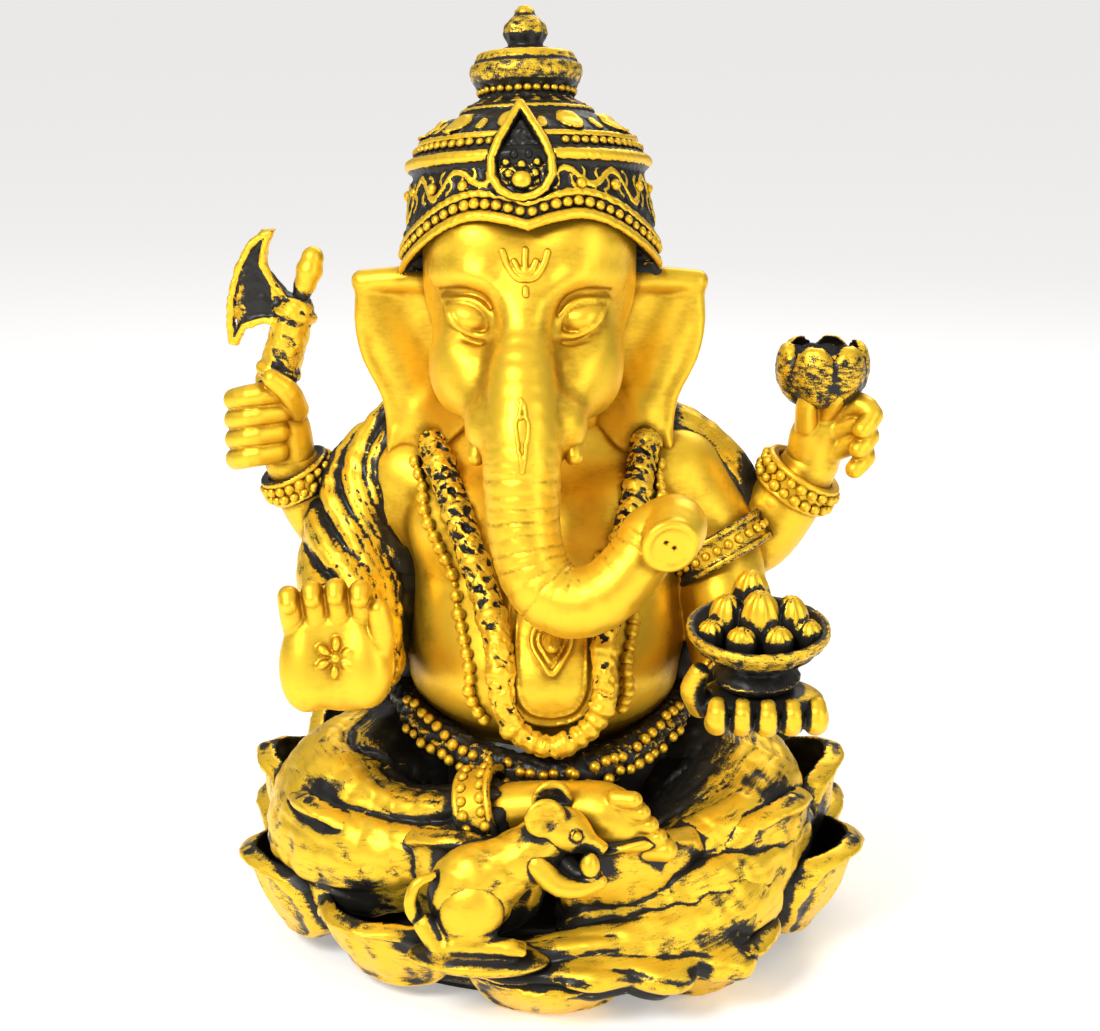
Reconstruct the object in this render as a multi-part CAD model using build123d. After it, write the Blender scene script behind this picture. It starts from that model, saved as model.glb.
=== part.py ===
from build123d import *
import math
import os

# Seated four-armed elephant-headed idol on a lotus seat, cast in resin in many pieces that are glued together.
#
# Millimetres. +Z is up, the figure faces -Y, and +X is the figure's own left. The origin is the centre of the
# face that the idol rests on. "right" and "left" in names are the figure's own.
#
# Where two castings meet, the one that is glued on keeps its shape and its neighbour is cut to seat it.

os.makedirs("parts", exist_ok=True)

# ---- driving dimensions ------------------------------------------------------------------------------
PAD_T = 1.5                 # felt under the seat
SEAT_RX, SEAT_RY = 82.0, 70.0
SEAT_TOP = 30.0
TORSO_FOOT = 76.0           # the torso stands on the hips here
POUR_HOLE_R, POUR_HOLE_DEPTH = 12.0, 14.0
PETALS_PER_RING = 10
PETAL_WALL = 3.5
HEAD_X = -6.0               # the head leans a little to the figure's right
CROWN_BASE = (-6.5, 0.0, 240.0)
CROWN_BACK_TILT, CROWN_SIDE_TILT = 12.0, -1.4
CROWN_TOP = 66.6            # along the crown's own axis, from its base point: the tip is 305 above the resting face
BEAD_R = 2.6
GARLAND_R = 4.8
CRUMB = 3.0                 # mm3: a cut's leftovers below this are dropped

made = {}


# ---- helpers -----------------------------------------------------------------------------------------
def group(solids):
    """One solid as it is, several as a compound."""
    return solids[0] if len(solids) == 1 else Compound(children=list(solids))


def minus(shape, *tools):
    """shape with every tool taken away, without the crumbs."""
    cutters = [s for tool in tools for s in tool.solids()]
    left = []
    for solid in shape.solids():
        near = [c for c in cutters if boxes_meet(solid, c)]
        cut = solid.cut(*near) if near else solid
        left += [s for s in ShapeList(cut if isinstance(cut, list) else [cut]).solids() if s.volume > CRUMB]
    return group(left)


def boxes_meet(a, b):
    """Whether two shapes' bounding boxes overlap."""
    p, q = a.bounding_box(), b.bounding_box()
    return all(getattr(p.min, k) < getattr(q.max, k) and getattr(q.min, k) < getattr(p.max, k) for k in "XYZ")


def keep(name, shape):
    """Writes one node."""
    out = group(shape.solids())
    out.label = name
    export_step(out, f"parts/{name}.step")
    made[name] = out


def oval(centre, radii, turn=(0, 0, 0)):
    """An ellipsoid with three radii."""
    return Pos(*centre) * Rot(*turn) * scale(Sphere(1), by=radii)


def stack(sections):
    """A loft through level ellipses, each (z, x, y, half width, half depth)."""
    rings = [Plane(origin=(x, y, z)) * Ellipse(rx, ry) for z, x, y, rx, ry in sections]
    return loft(rings)


def limb(points, radii, flat=1.0):
    """A loft through circles (or ovals) square to the path through points."""
    rings = []
    for i, p in enumerate(points):
        ahead = Vector(*points[min(i + 1, len(points) - 1)])
        behind = Vector(*points[max(i - 1, 0)])
        along = (ahead - behind).normalized()
        side = Vector(1, 0.13, 0.07).cross(along).normalized()
        rings.append(Plane(origin=p, x_dir=side, z_dir=along) * Ellipse(radii[i], radii[i] * flat))
    return loft(rings)


def rod(a, b, r):
    """A round rod with ball ends."""
    a, b = Vector(*a), Vector(*b)
    length = (b - a).length
    body = Plane(origin=a, z_dir=(b - a)) * Pos(0, 0, length / 2) * Cylinder(r, length)
    return body + Pos(*a) * Sphere(r) + Pos(*b) * Sphere(r)


def ring(centre, along, r, width, wall=2.0):
    """A plain bracelet round a limb: its outside, filled, so that the limb cuts its hole."""
    return Plane(origin=centre, z_dir=along) * Cylinder(r + wall, width)


def turned(profile):
    """A body of revolution about Z from (radius, height) points, lowest first."""
    r0, z0 = profile[0]
    r1, z1 = profile[-1]
    outline = Polyline((0, 0, z0), *[(r, 0, z) for r, z in profile], (0, 0, z1), (0, 0, z0))
    return revolve(make_face(outline), Axis.Z)


def smooth_turned(profile):
    """The same with a smooth side."""
    side = Spline(*[(r, 0, z) for r, z in profile])
    z0, z1 = profile[0][1], profile[-1][1]
    edges = [side, Line((0, 0, z0), side @ 0), Line(side @ 1, (0, 0, z1)), Line((0, 0, z1), (0, 0, z0))]
    return revolve(make_face(edges), Axis.Z)


def plate(outline, y, thickness):
    """A plate whose closed smooth outline of (x, z) points stands in the XZ plane, its front at y."""
    edge = Spline(*[(x, 0, z) for x, z in outline], periodic=True)
    return Pos(0, y, 0) * extrude(make_face(edge), amount=thickness, dir=(0, 1, 0))


def along_path(points, spacing):
    """Points at an even spacing along a smooth path."""
    path = Spline(*points)
    count = max(2, round(path.length / spacing))
    return [tuple(path @ (i / count)) for i in range(count + 1)]


def crown_place(shape):
    return Pos(*CROWN_BASE) * Rot(-CROWN_BACK_TILT, CROWN_SIDE_TILT, 0) * shape


# ---- lotus seat --------------------------------------------------------------------------------------
def shell_petal(ball_r, wall, half_width, low, high):
    """A cupped petal with a pointed top: part of a hollow ball, its outermost point at the origin, facing +X."""
    w = half_width
    outline = Spline((0, -w * 0.55, low), (0, -w, (low + high) * 0.35), (0, -w * 0.62, high * 0.72), (0, 0, high),
                     (0, w * 0.62, high * 0.72), (0, w, (low + high) * 0.35), (0, w * 0.55, low))
    face = make_face([outline, Line(outline @ 1, outline @ 0)])
    prism = extrude(face, amount=ball_r * 1.5, dir=(1, 0, 0))
    ball = Sphere(ball_r) - Sphere(ball_r - wall)
    return Pos(-ball_r, 0, 0) * (ball & prism)


def petal_ring(count, offset, radius_x, radius_y, z, lean, *size):
    """Petals round an oval, each leaning out at its top."""
    out = []
    for i in range(count):
        angle = -90 + offset + i * 360 / count
        a = math.radians(angle)
        place = Pos(radius_x * math.cos(a), radius_y * math.sin(a), z) * Rot(0, 0, angle) * Rot(0, lean, 0)
        out.append(place * shell_petal(*size))
    return out


pad = extrude(Ellipse(SEAT_RX - 8, SEAT_RY - 6), PAD_T)
keep("base_pad", pad)

seat = stack([(PAD_T, 0, 0, 78, 66), (14, 0, 0, SEAT_RX, SEAT_RY), (24, 0, 2, 78, 66), (SEAT_TOP, 0, 4, 68, 56)])
pour_hole = Pos(0, 0, PAD_T + POUR_HOLE_DEPTH / 2) * Cylinder(POUR_HOLE_R, POUR_HOLE_DEPTH)
seat_full = seat
seat = seat - pour_hole
keep("base_plug", pour_hole)

# ---- legs and hips -----------------------------------------------------------------------------------
right_leg = limb(
    [(-30, 4, 60), (-52, -6, 52), (-66, -17, 46), (-62, -36, 42), (-44, -49, 46), (-28, -56, 54), (-19, -60, 61)],
    [26, 27.5, 26, 24, 19, 14, 10],
)
left_leg = limb(
    [(28, 4, 58), (46, -6, 50), (60, -17, 45), (54, -38, 40), (34, -54, 34), (12, -60, 30)],
    [25, 27, 26, 23, 18, 13],
)
lap = stack([(SEAT_TOP, 0, 9, 58, 44), (TORSO_FOOT, -1, 5, 47, 41)])
front_fold = oval((8, -62, 27), (27, 22, 15), (12, 0, 0))
foot = limb(
    [(-14, -62, 63), (-4, -65, 65), (10, -67, 64), (24, -67, 61), (34, -66, 59)],
    [7.0, 8.5, 8.5, 9.0, 6.5],
)
anklet_ring = Plane(origin=(-19, -60, 61.5), z_dir=(0.85, -0.2, 0.3)) * Cylinder(12.5, 11)

seat = minus(seat, front_fold, right_leg, left_leg)
lap = minus(lap, right_leg, left_leg)
left_leg = minus(left_leg, right_leg)
front_fold = minus(front_fold, left_leg, right_leg, Pos(0, 0, -50 + PAD_T) * Box(300, 300, 100))
foot = minus(foot, left_leg)
anklet = minus(anklet_ring, right_leg, foot, left_leg)
foot = minus(foot, right_leg)

# ---- trunk of the body -------------------------------------------------------------------------------
BODY_SECTIONS = [
    (TORSO_FOOT, -1, 2, 38, 34), (88, -2, -6, 44, 44), (102, -2, -8, 45, 45), (118, -2, -4, 43, 40),
    (134, -2, 4, 46, 33), (148, -2, 8, 50, 29), (160, -3, 9, 44, 25), (168, -4, 8, 30, 20), (174, -5, 6, 20, 17),
]


def body_grown(by):
    """The torso with every section wider by the same amount: what lies on the skin is cut from it."""
    return stack([(z, x, y, rx + by, ry + by) for z, x, y, rx, ry in BODY_SECTIONS])


torso_full = body_grown(0)


def on_body(x, z, out):
    """The point at x and z on the torso's front, moved out from the skin by out."""
    z = min(max(z, BODY_SECTIONS[0][0]), BODY_SECTIONS[-1][0] - 0.01)
    for low, high in zip(BODY_SECTIONS, BODY_SECTIONS[1:]):
        if low[0] <= z < high[0]:
            f = (z - low[0]) / (high[0] - low[0])
            cx, cy, rx, ry = [a + (b - a) * f for a, b in zip(low[1:], high[1:])]
            slope = (high[4] - low[4] - high[2] + low[2]) / (high[0] - low[0])
    c = min(max((x - cx) / rx, -0.97), 0.97)
    s = -math.sqrt(1 - c * c)
    nx, ny = c / rx, s / ry
    n = math.hypot(nx, ny)
    nx, ny, nz = nx / n, ny / n, slope * s
    m = math.sqrt(1 + nz * nz)
    return (cx + rx * c + out * nx / m, cy + ry * s + out * ny / m, z + out * nz / m)


# ---- head --------------------------------------------------------------------------------------------
head_full = stack([
    (171, HEAD_X, -12, 15, 14), (182, HEAD_X, -17, 24, 20), (195, HEAD_X, -12, 31, 28), (210, HEAD_X, -8, 34, 32),
    (224, HEAD_X, -4, 34, 34), (238, HEAD_X - 0.5, 0, 33, 34), (250, HEAD_X - 1, 3, 27, 28), (258, HEAD_X - 1, 4, 16, 17),
])
neck_spigot = Pos(-5, 5, 168) * Cylinder(10.5, 20)
trunk_full = limb(
    [(-8, -34, 224), (-9, -45, 207), (-9, -54, 189), (-9, -58, 171), (-8, -61, 153), (-3, -65, 139),
     (8, -68, 133), (19, -68, 138), (27, -66, 147), (33, -64, 155)],
    [13, 13.5, 14.5, 12.5, 11.5, 11, 10.8, 10.4, 10, 9.6],
) + Pos(35, -66, 156.5) * Sphere(10.4) + Plane(origin=(34.7, -72.5, 155.2), z_dir=(-0.06, -1, -0.18)) * Cylinder(9, 14)
EAR_OUTLINE = [(-30, 216), (-46, 219), (-60, 217), (-62, 203), (-60, 187), (-54, 174), (-46, 164), (-37, 170),
               (-33, 186), (-30, 200)]


def ear(side):
    """A flat ear with a rolled top edge. side is 1 for the figure's right ear and -1 for its left."""
    outline = [(x if side > 0 else 2 * HEAD_X - x, z) for x, z in EAR_OUTLINE]
    roll_in = -30 if side > 0 else 2 * HEAD_X + 30
    roll_out = -58 if side > 0 else 2 * HEAD_X + 58
    return plate(outline, 0, 5.5) + rod((roll_in, 2, 217.5), (roll_out, 3.5, 218), 4.2)


right_ear = minus(ear(1), head_full)
left_ear = minus(ear(-1), head_full)
right_tusk = minus(rod((-24, -42, 184), (-27, -50, 170), 4.6), head_full, trunk_full)
left_tusk = minus(rod((8, -42, 184), (9, -52, 170), 4.6), head_full, trunk_full)
forehead_mark = minus(
    limb([(-15, -38, 236), (-13, -40, 231), (-9, -42, 228), (-5, -41, 231), (-3, -39, 236)], [1.6] * 5)
    + rod((-9, -39.5, 234), (-9, -41.5, 230), 1.5),
    head_full, trunk_full,
)
trunk_mark = minus(
    plate([(-9, 194), (-6.4, 188), (-7.6, 180), (-9, 174), (-10.4, 180), (-11.6, 188)], -71.2, 12), trunk_full
)

# ---- crown -------------------------------------------------------------------------------------------
band = turned([(40, -17), (39, -8), (36.5, 4), (35.5, 14), (37.2, 16), (37.2, 18.5), (34, 19)])
brow_cut = [Pos(x, -34, -19) * Rot(90, 0, 0) * Cylinder(17, 40) for x in (-14.5, 14.5)]
dome = smooth_turned([(35, 19), (31.5, 23.5), (26.5, 28), (19.5, 32.5), (14, 37), (13, 40)])
knob = smooth_turned([(13, 40), (16, 42.5), (17.2, 46), (16, 49.5), (10.5, 52), (6, 53)])
finial = smooth_turned([(6, 53), (4.8, 55.5), (6.1, 58.5), (5.2, 62), (2.6, 65), (0.6, CROWN_TOP)])
DROP = [(0, 37), (5.2, 29), (9.4, 20), (9.8, 13), (5.6, 6.5), (0, 4.5), (-5.6, 6.5), (-9.8, 13), (-9.4, 20),
        (-5.2, 29)]
jewel_frame = plate(DROP, -42, 14)
jewel_hole = plate([(x * 0.78, 19 + (z - 19) * 0.8) for x, z in DROP], -60, 70)
jewel = plate([(x * 0.78, 19 + (z - 19) * 0.8) for x, z in DROP], -39, 11)
crown_parts = {
    "crown_band": crown_place(minus(band, *brow_cut)),
    "crown_dome": crown_place(dome),
    "crown_knob": crown_place(knob),
    "crown_finial": crown_place(finial),
    "crown_jewel_frame": crown_place(jewel_frame - jewel_hole),
    "crown_jewel": crown_place(jewel),
}
band_beads = [(37.9, d, 9.5) for d in range(-170, -9, 7) if not -108 < d < -72]
rim_beads = [(35.4, d, 21.2) for d in range(0, 360, 8) if not 252 < d < 288]
crown_beads = Compound(children=[
    crown_place(Pos(r * math.cos(math.radians(d)), r * math.sin(math.radians(d)), z) * Sphere(1.7))
    for r, d, z in [*band_beads, *rim_beads]
])
crown_scrolls = [crown_place(Rot(0, 0, d) * Pos(38.6, 0, 0) * Rot(0, 96, 0) * Torus(5.5, 1.4)) for d in (-132, -48)]

# ---- arms --------------------------------------------------------------------------------------------
rear_right_arm = limb([(-46, 20, 140), (-58, 18, 131), (-70, 14, 132), (-80, 10.5, 145), (-86, 8.5, 158)],
                      [13, 13, 12, 10.5, 8.8])
rear_left_arm = limb([(44, 20, 140), (56, 18, 129), (69, 14, 131), (79, 10.5, 145), (87, 8.5, 158)],
                     [13, 13.5, 13.5, 11.5, 9.2])
front_right_arm = limb([(-46, 8, 152), (-58, 4, 132), (-63, -8, 112), (-61, -28, 104), (-62, -54, 108)],
                       [14, 15, 14, 12.5, 10.5])
front_left_arm = limb([(44, 8, 152), (55, 4, 132), (59, -8, 110), (58, -28, 100), (61, -52, 99)],
                      [14, 14, 13.5, 12, 10])


def hand(palm, fingers, thumb):
    """A palm with fingers as round rods: each finger is (knuckle, tip, radius)."""
    shape = palm
    for a, b, r in [*fingers, thumb]:
        shape = shape + rod(a, b, r)
    return shape


rear_right_hand = hand(
    oval((-90, 6, 171), (9.5, 8, 15), (0, -22, 0)),
    [((-95, 0, 182 - 6.5 * i), (-101, -3, 178 - 6.5 * i), 4.0) for i in range(4)],
    ((-85, 1, 180), (-88, -3, 187), 3.8),
)
rear_left_hand = hand(
    oval((91, 6, 168), (10, 8, 15), (0, 22, 0)),
    [((99, 2, 183 - 6.5 * i), (103, -4, 178 - 6.5 * i), 4.2) for i in range(3)],
    ((90, 0, 174), (96, -2, 184), 4.2),
)
front_right_hand = hand(
    stack([(97, -62, -57, 9, 8), (105, -64, -61, 13.5, 8.5), (116, -66, -65, 15.5, 8), (127, -66, -68.5, 14.5, 6)]),
    [((-77.5 + 7.4 * i, -69, 124), (-78 + 7.6 * i, -72, 136.5 - abs(i - 1.6) * 1.6), 3.9) for i in range(4)],
    ((-54, -66, 114), (-51.5, -70, 127), 4.0),
)
front_left_hand = hand(
    oval((65, -67, 101.5), (20, 15, 6.5)),
    [((58 + 8 * i, -82 + i, 101), (58 + 9 * i, -88 + 2 * i, 106), 4.2) for i in range(4)],
    ((48, -70, 103), (46, -74, 113), 4.2),
)

AXE_FOOT, AXE_TOP = (-96, 3, 164), (-76.5, 3, 227)
axe_shaft = rod(AXE_FOOT, AXE_TOP, 3.2)
AXE_ALONG = Vector(*AXE_TOP) - Vector(*AXE_FOOT)
axe_collar = Plane(origin=(-85.6, 3, 198), z_dir=AXE_ALONG) * Cylinder(6.4, 24)
BLADE = [(-87.5, 235), (-95, 232), (-102, 222), (-105, 209), (-104.4, 199), (-101, 197.5), (-97, 203), (-92, 205),
         (-88, 212), (-90, 222), (-89, 229)]
axe_blade = plate(BLADE, 1, 4)
lotus_cup = Pos(89, 4, 0) * smooth_turned([(4, 178), (7.5, 181), (11.5, 187), (12.5, 193), (11, 197)])
lotus_petals = petal_ring(6, 0, 15.5, 15.5, 191, 12, 13, 1.8, 7.2, -9, 11)
lotus_petals = [Pos(89, 4, 0) * p for p in lotus_petals]

# ---- bowl of sweets ----------------------------------------------------------------------------------
BOWL_AT, BOWL_TILT = (63, -69, 109), 7.0
bowl = turned([(12.5, 0), (13, 1.5), (10, 4), (9.5, 6), (13, 8), (18.5, 12), (21.3, 16), (20.2, 17), (16.5, 13.2),
               (11, 11), (0.01, 10.5)])
bowl = Pos(*BOWL_AT) * Rot(BOWL_TILT, 0, 0) * bowl
SWEETS = [(0, -2, 19, 6.5, 11), (-9, 3, 17, 5.5, 10), (9, 2, 17, 5.5, 10), (-2, 9, 19, 6, 11.5), (13, -4, 14, 4, 6),
          (-12, -5, 14, 4.2, 6)]
sweets = [Pos(*BOWL_AT) * Rot(BOWL_TILT, 0, 0) * oval((x, y, z + 2), (r, r, h)) for x, y, z, r, h in SWEETS]

# ---- cloth and jewellery -----------------------------------------------------------------------------
shawl_right = limb([(-40, 8, 163), (-52, 8, 152), (-62, 3, 134), (-64, -8, 116), (-61, -24, 105)],
                   [15, 19.5, 20, 17.5, 15.5])
shawl_left = limb([(38, 14, 166), (52, 16, 152), (62, 16, 134), (62, 12, 116)], [9, 12, 11, 7])
GARLAND = [(-38, 167), (-34, 157), (-27, 143), (-21, 128), (-16, 113), (-15, 98), (-11, 87), (0, 81.5), (11, 86),
           (17, 97), (17, 112), (20, 128), (24, 143), (27, 156), (29, 167)]
garland = limb([on_body(x, z, GARLAND_R + 0.5) for x, z in GARLAND], [GARLAND_R] * len(GARLAND))
LONG_NECKLACE = [(-42, 162), (-39, 150), (-34, 134), (-30, 120), (-26, 106), (-26, 96), (-20, 84)]
LONG_NECKLACE_LEFT = [(35, 162), (34, 150), (32, 134), (30, 120), (27, 106), (28, 96), (24, 84)]
SHORT_NECKLACE = [(-14, 136), (-9, 129), (0, 125), (9, 129), (14, 136)]


def bead_row(row, r, spacing):
    return [Pos(*p) * Sphere(r) for p in along_path([on_body(x, z, r + 0.3) for x, z in row], spacing)]


bead_necklaces = Compound(children=[
    *bead_row(LONG_NECKLACE, BEAD_R, 6.2), *bead_row(LONG_NECKLACE_LEFT, BEAD_R, 6.2),
    *bead_row(SHORT_NECKLACE, 1.7, 4.2),
])
belt = limb([(-47, -6, 86), (-36, -29, 79), (-20, -43, 73), (-1, -48, 71), (18, -43, 73), (33, -30, 78),
             (43, -6, 84)], [4.5, 5, 5.5, 5.5, 5.5, 5, 4.5])
PANEL = [(-15.5, 128), (-16, 108), (-14.5, 94), (-8, 86), (0.5, 84), (9, 86), (15, 94), (16, 108), (15, 128),
         (0, 131)]
PENDANT = [(0, 121), (6, 119), (7, 113), (0, 104.5), (-7, 113), (-6, 119)]
panel = plate(PANEL, -70, 60) & body_grown(2.4)
panel = minus(panel, torso_full)
pendant = minus(plate(PENDANT, -70, 60) & body_grown(4.8), body_grown(2.4))
armlet = Plane(origin=(56, 1, 128), z_dir=(-0.5, 0.25, 0.85)) * Cylinder(16.8, 9)

# ---- mouse -------------------------------------------------------------------------------------------
mouse_body = limb([(-28, -84, 40), (-25, -84, 47), (-15, -83, 53), (-6, -82, 58), (0, -82, 62)],
                  [11, 13.5, 10.5, 9, 6])
mouse_head = oval((5, -82, 64), (9, 6.5, 6.5), (0, 24, 0)) + rod((8, -83, 62), (14, -84, 58), 3) \
    + oval((-1, -86, 68), (6.8, 2.4, 6.8))
mouse_forelegs = rod((0, -87, 54), (6, -90, 49), 3.2) + rod((6, -90, 49), (14, -90, 50), 2.5) \
    + rod((12, -89, 50), (12, -89, 57), 2.4)
mouse_hind_legs = oval((-23, -91, 41), (9.5, 5.5, 11.5)) + rod((-27, -93, 31), (-10, -94, 31), 3.2) \
    + rod((-34, -91, 37), (-29, -93, 29), 3.4)
mouse_tail = limb([(-34, -86, 36), (-40, -88, 40), (-42, -90, 46), (-37, -88, 51)], [2.4, 2.2, 1.8, 1.4])

# ---- fit the castings to one another, most visible piece first ---------------------------------------
trunk = minus(trunk_full, head_full)
for name in ("crown_band", "crown_dome", "crown_jewel"):
    crown_parts[name] = minus(crown_parts[name], head_full)
crown_parts["crown_band"] = minus(crown_parts["crown_band"], right_ear, left_ear, crown_parts["crown_dome"])
crown_parts["crown_jewel"] = minus(crown_parts["crown_jewel"], crown_parts["crown_band"], crown_parts["crown_dome"])
crown_parts["crown_jewel_frame"] = minus(crown_parts["crown_jewel_frame"], crown_parts["crown_band"],
                                         crown_parts["crown_dome"], head_full)
rear_right_hand = minus(rear_right_hand, axe_shaft)
rear_right_arm = minus(rear_right_arm, rear_right_hand, torso_full)
rear_right_bracelet = minus(ring((-83.5, 9.3, 152.5), (-0.42, -0.16, 0.89), 9.4, 8), rear_right_arm, rear_right_hand)
axe_head = minus(axe_blade + axe_collar, axe_shaft, rear_right_hand)
rear_left_hand = minus(rear_left_hand, lotus_cup)
rear_left_arm = minus(rear_left_arm, rear_left_hand, torso_full)
rear_left_bracelet = minus(ring((82.5, 9.5, 151), (0.5, -0.15, 0.85), 10.6, 9), rear_left_arm, rear_left_hand)
lotus_petals = [minus(p, lotus_cup) for p in lotus_petals]

front_right_arm = minus(front_right_arm, front_right_hand, torso_full)
front_right_bracelet = minus(ring((-62, -51, 107.5), (0, -1, 0.15), 10.8, 7), front_right_arm, front_right_hand)
bowl = minus(bowl, *sweets)
front_left_hand = minus(front_left_hand, bowl)
front_left_arm = minus(front_left_arm, front_left_hand, torso_full)
front_left_bracelet = minus(ring((60, -46, 99.2), (0.1, -1, 0), 10.8, 8), front_left_arm, front_left_hand, bowl)
sweet_solids = []
for shape in sweets:
    sweet_solids += minus(shape, *sweet_solids).solids()
armlet = minus(armlet, front_left_arm, torso_full, rear_left_arm, trunk_full)

torso = minus(torso_full, neck_spigot)
rear_right_arm = minus(rear_right_arm, front_right_arm)
rear_left_arm = minus(rear_left_arm, front_left_arm)
head = minus(head_full + neck_spigot, torso_full - neck_spigot)
panel = minus(panel, trunk_full)
pendant = minus(pendant, trunk_full)
belt = minus(belt, torso_full, lap, right_leg, left_leg)
shawl_right = minus(shawl_right, torso_full, front_right_arm, rear_right_arm)
shawl_left = minus(shawl_left, torso_full, front_left_arm, rear_left_arm)

mouse_head = minus(mouse_head, mouse_forelegs, foot)
mouse_body = minus(mouse_body, mouse_head, mouse_forelegs, mouse_hind_legs, right_leg, left_leg, foot, front_fold)
mouse_tail = minus(mouse_tail, mouse_body, right_leg)
mouse_hind_legs = minus(mouse_hind_legs, front_fold)
mouse_forelegs = minus(mouse_forelegs, front_fold)

petal_tools = (seat_full, right_leg, left_leg, front_fold)
lower_petals = petal_ring(PETALS_PER_RING, 0, 101, 89, 19, 22, 34, PETAL_WALL, 27, -17, 17)
upper_petals = petal_ring(PETALS_PER_RING, 18, 95, 80, 38, 16, 34, PETAL_WALL, 26, -17, 24)
lower_petals = [s for p in lower_petals for s in minus(p, *petal_tools).solids() if s.volume > 400]
upper_petals = [s for p in upper_petals for s in minus(p, *petal_tools, *lower_petals).solids() if s.volume > 400]

# ---- write the nodes ---------------------------------------------------------------------------------
nodes = {
    "lotus_seat": seat,
    "petals_lower": Compound(children=lower_petals),
    "petals_upper": Compound(children=upper_petals),
    "hips": lap,
    "right_leg": right_leg,
    "left_leg": left_leg,
    "dhoti_front_fold": front_fold,
    "right_foot": foot,
    "anklet": anklet,
    "torso": torso,
    "belly_panel": panel,
    "belly_pendant": pendant,
    "waist_belt": belt,
    "garland": garland,
    "bead_necklaces": bead_necklaces,
    "shawl_right": shawl_right,
    "shawl_left": shawl_left,
    "head": head,
    "trunk": trunk,
    "right_ear": right_ear,
    "left_ear": left_ear,
    "right_tusk": right_tusk,
    "left_tusk": left_tusk,
    "forehead_mark": forehead_mark,
    "trunk_mark": trunk_mark,
    **crown_parts,
    "crown_beads": crown_beads,
    "crown_scrolls": Compound(children=crown_scrolls),
    "rear_right_arm": rear_right_arm,
    "rear_right_hand": rear_right_hand,
    "rear_right_bracelet": rear_right_bracelet,
    "axe_shaft": axe_shaft,
    "axe_head": axe_head,
    "rear_left_arm": rear_left_arm,
    "rear_left_hand": rear_left_hand,
    "rear_left_bracelet": rear_left_bracelet,
    "lotus_flower_cup": lotus_cup,
    "lotus_flower_petals": Compound(children=lotus_petals),
    "front_right_arm": front_right_arm,
    "front_right_hand": front_right_hand,
    "front_right_bracelet": front_right_bracelet,
    "front_left_arm": front_left_arm,
    "front_left_hand": front_left_hand,
    "front_left_bracelet": front_left_bracelet,
    "armlet": armlet,
    "sweet_bowl": bowl,
    "sweets": Compound(children=sweet_solids),
    "mouse_body": mouse_body,
    "mouse_head": mouse_head,
    "mouse_forelegs": mouse_forelegs,
    "mouse_hind_legs": mouse_hind_legs,
    "mouse_tail": mouse_tail,
}
for node_name, node_shape in nodes.items():
    keep(node_name, node_shape)
print(len(made), "nodes")
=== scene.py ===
import math
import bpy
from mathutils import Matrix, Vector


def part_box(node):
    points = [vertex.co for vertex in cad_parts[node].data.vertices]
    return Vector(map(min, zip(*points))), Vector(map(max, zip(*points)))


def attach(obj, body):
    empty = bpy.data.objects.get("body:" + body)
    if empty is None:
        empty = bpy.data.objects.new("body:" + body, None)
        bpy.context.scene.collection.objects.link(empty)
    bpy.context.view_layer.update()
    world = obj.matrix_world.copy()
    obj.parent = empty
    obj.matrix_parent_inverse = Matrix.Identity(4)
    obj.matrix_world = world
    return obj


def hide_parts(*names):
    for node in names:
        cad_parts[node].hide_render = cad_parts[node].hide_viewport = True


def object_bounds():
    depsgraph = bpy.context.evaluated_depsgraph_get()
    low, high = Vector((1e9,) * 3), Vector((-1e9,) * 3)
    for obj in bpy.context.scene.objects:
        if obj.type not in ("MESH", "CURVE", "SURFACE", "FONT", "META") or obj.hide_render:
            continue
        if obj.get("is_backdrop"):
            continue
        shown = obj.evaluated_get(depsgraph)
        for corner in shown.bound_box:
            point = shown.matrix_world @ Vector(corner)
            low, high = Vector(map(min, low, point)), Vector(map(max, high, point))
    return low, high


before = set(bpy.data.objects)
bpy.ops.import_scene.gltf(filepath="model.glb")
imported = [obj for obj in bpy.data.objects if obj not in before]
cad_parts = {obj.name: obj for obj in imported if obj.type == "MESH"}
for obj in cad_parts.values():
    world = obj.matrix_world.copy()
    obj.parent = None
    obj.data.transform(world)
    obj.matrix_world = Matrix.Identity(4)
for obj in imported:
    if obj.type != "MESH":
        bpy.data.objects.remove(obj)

from concurrent.futures import ThreadPoolExecutor

import bpy
import numpy as np
from mathutils import Vector

CAD_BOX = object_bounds()
MM = 1000.0
H_SKIN, H_FINE, H_COARSE = 0.95, 0.7, 1.3      # mesh cell sizes in millimetres
RNG = np.random.default_rng(7)
FIELDS = {}         # each piece's field with the box that it fills


# ---- distance fields: every function takes points (n, 3) in millimetres and gives distances ----
def vec(*v):
    return np.array(v, np.float32)


def unit(v):
    v = np.asarray(v, float)
    return v / np.linalg.norm(v)


def length(v):
    return np.sqrt(np.einsum("ij,ij->i", v, v))


def turn(rx=0, ry=0, rz=0):
    """A rotation matrix from degrees about X, then Y, then Z."""
    a, b, c = (math.radians(t) for t in (rx, ry, rz))
    mx = np.array([[1, 0, 0], [0, math.cos(a), -math.sin(a)], [0, math.sin(a), math.cos(a)]])
    my = np.array([[math.cos(b), 0, math.sin(b)], [0, 1, 0], [-math.sin(b), 0, math.cos(b)]])
    mz = np.array([[math.cos(c), -math.sin(c), 0], [math.sin(c), math.cos(c), 0], [0, 0, 1]])
    return mz @ my @ mx


def into(p, origin, m=None):
    """Points in a local frame."""
    q = p - np.asarray(origin, np.float32)
    return q if m is None else q @ m.astype(np.float32)


def ball(p, c, r):
    return length(p - vec(*c)) - r


def egg(p, c, radii, m=None):
    """An ellipsoid."""
    q = into(p, c, m)
    r = vec(*radii)
    k0 = length(q / r)
    k1 = length(q / (r * r)) + 1e-6
    return np.where(k0 < 1e-3, -min(radii), k0 * (k0 - 1) / k1)


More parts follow.
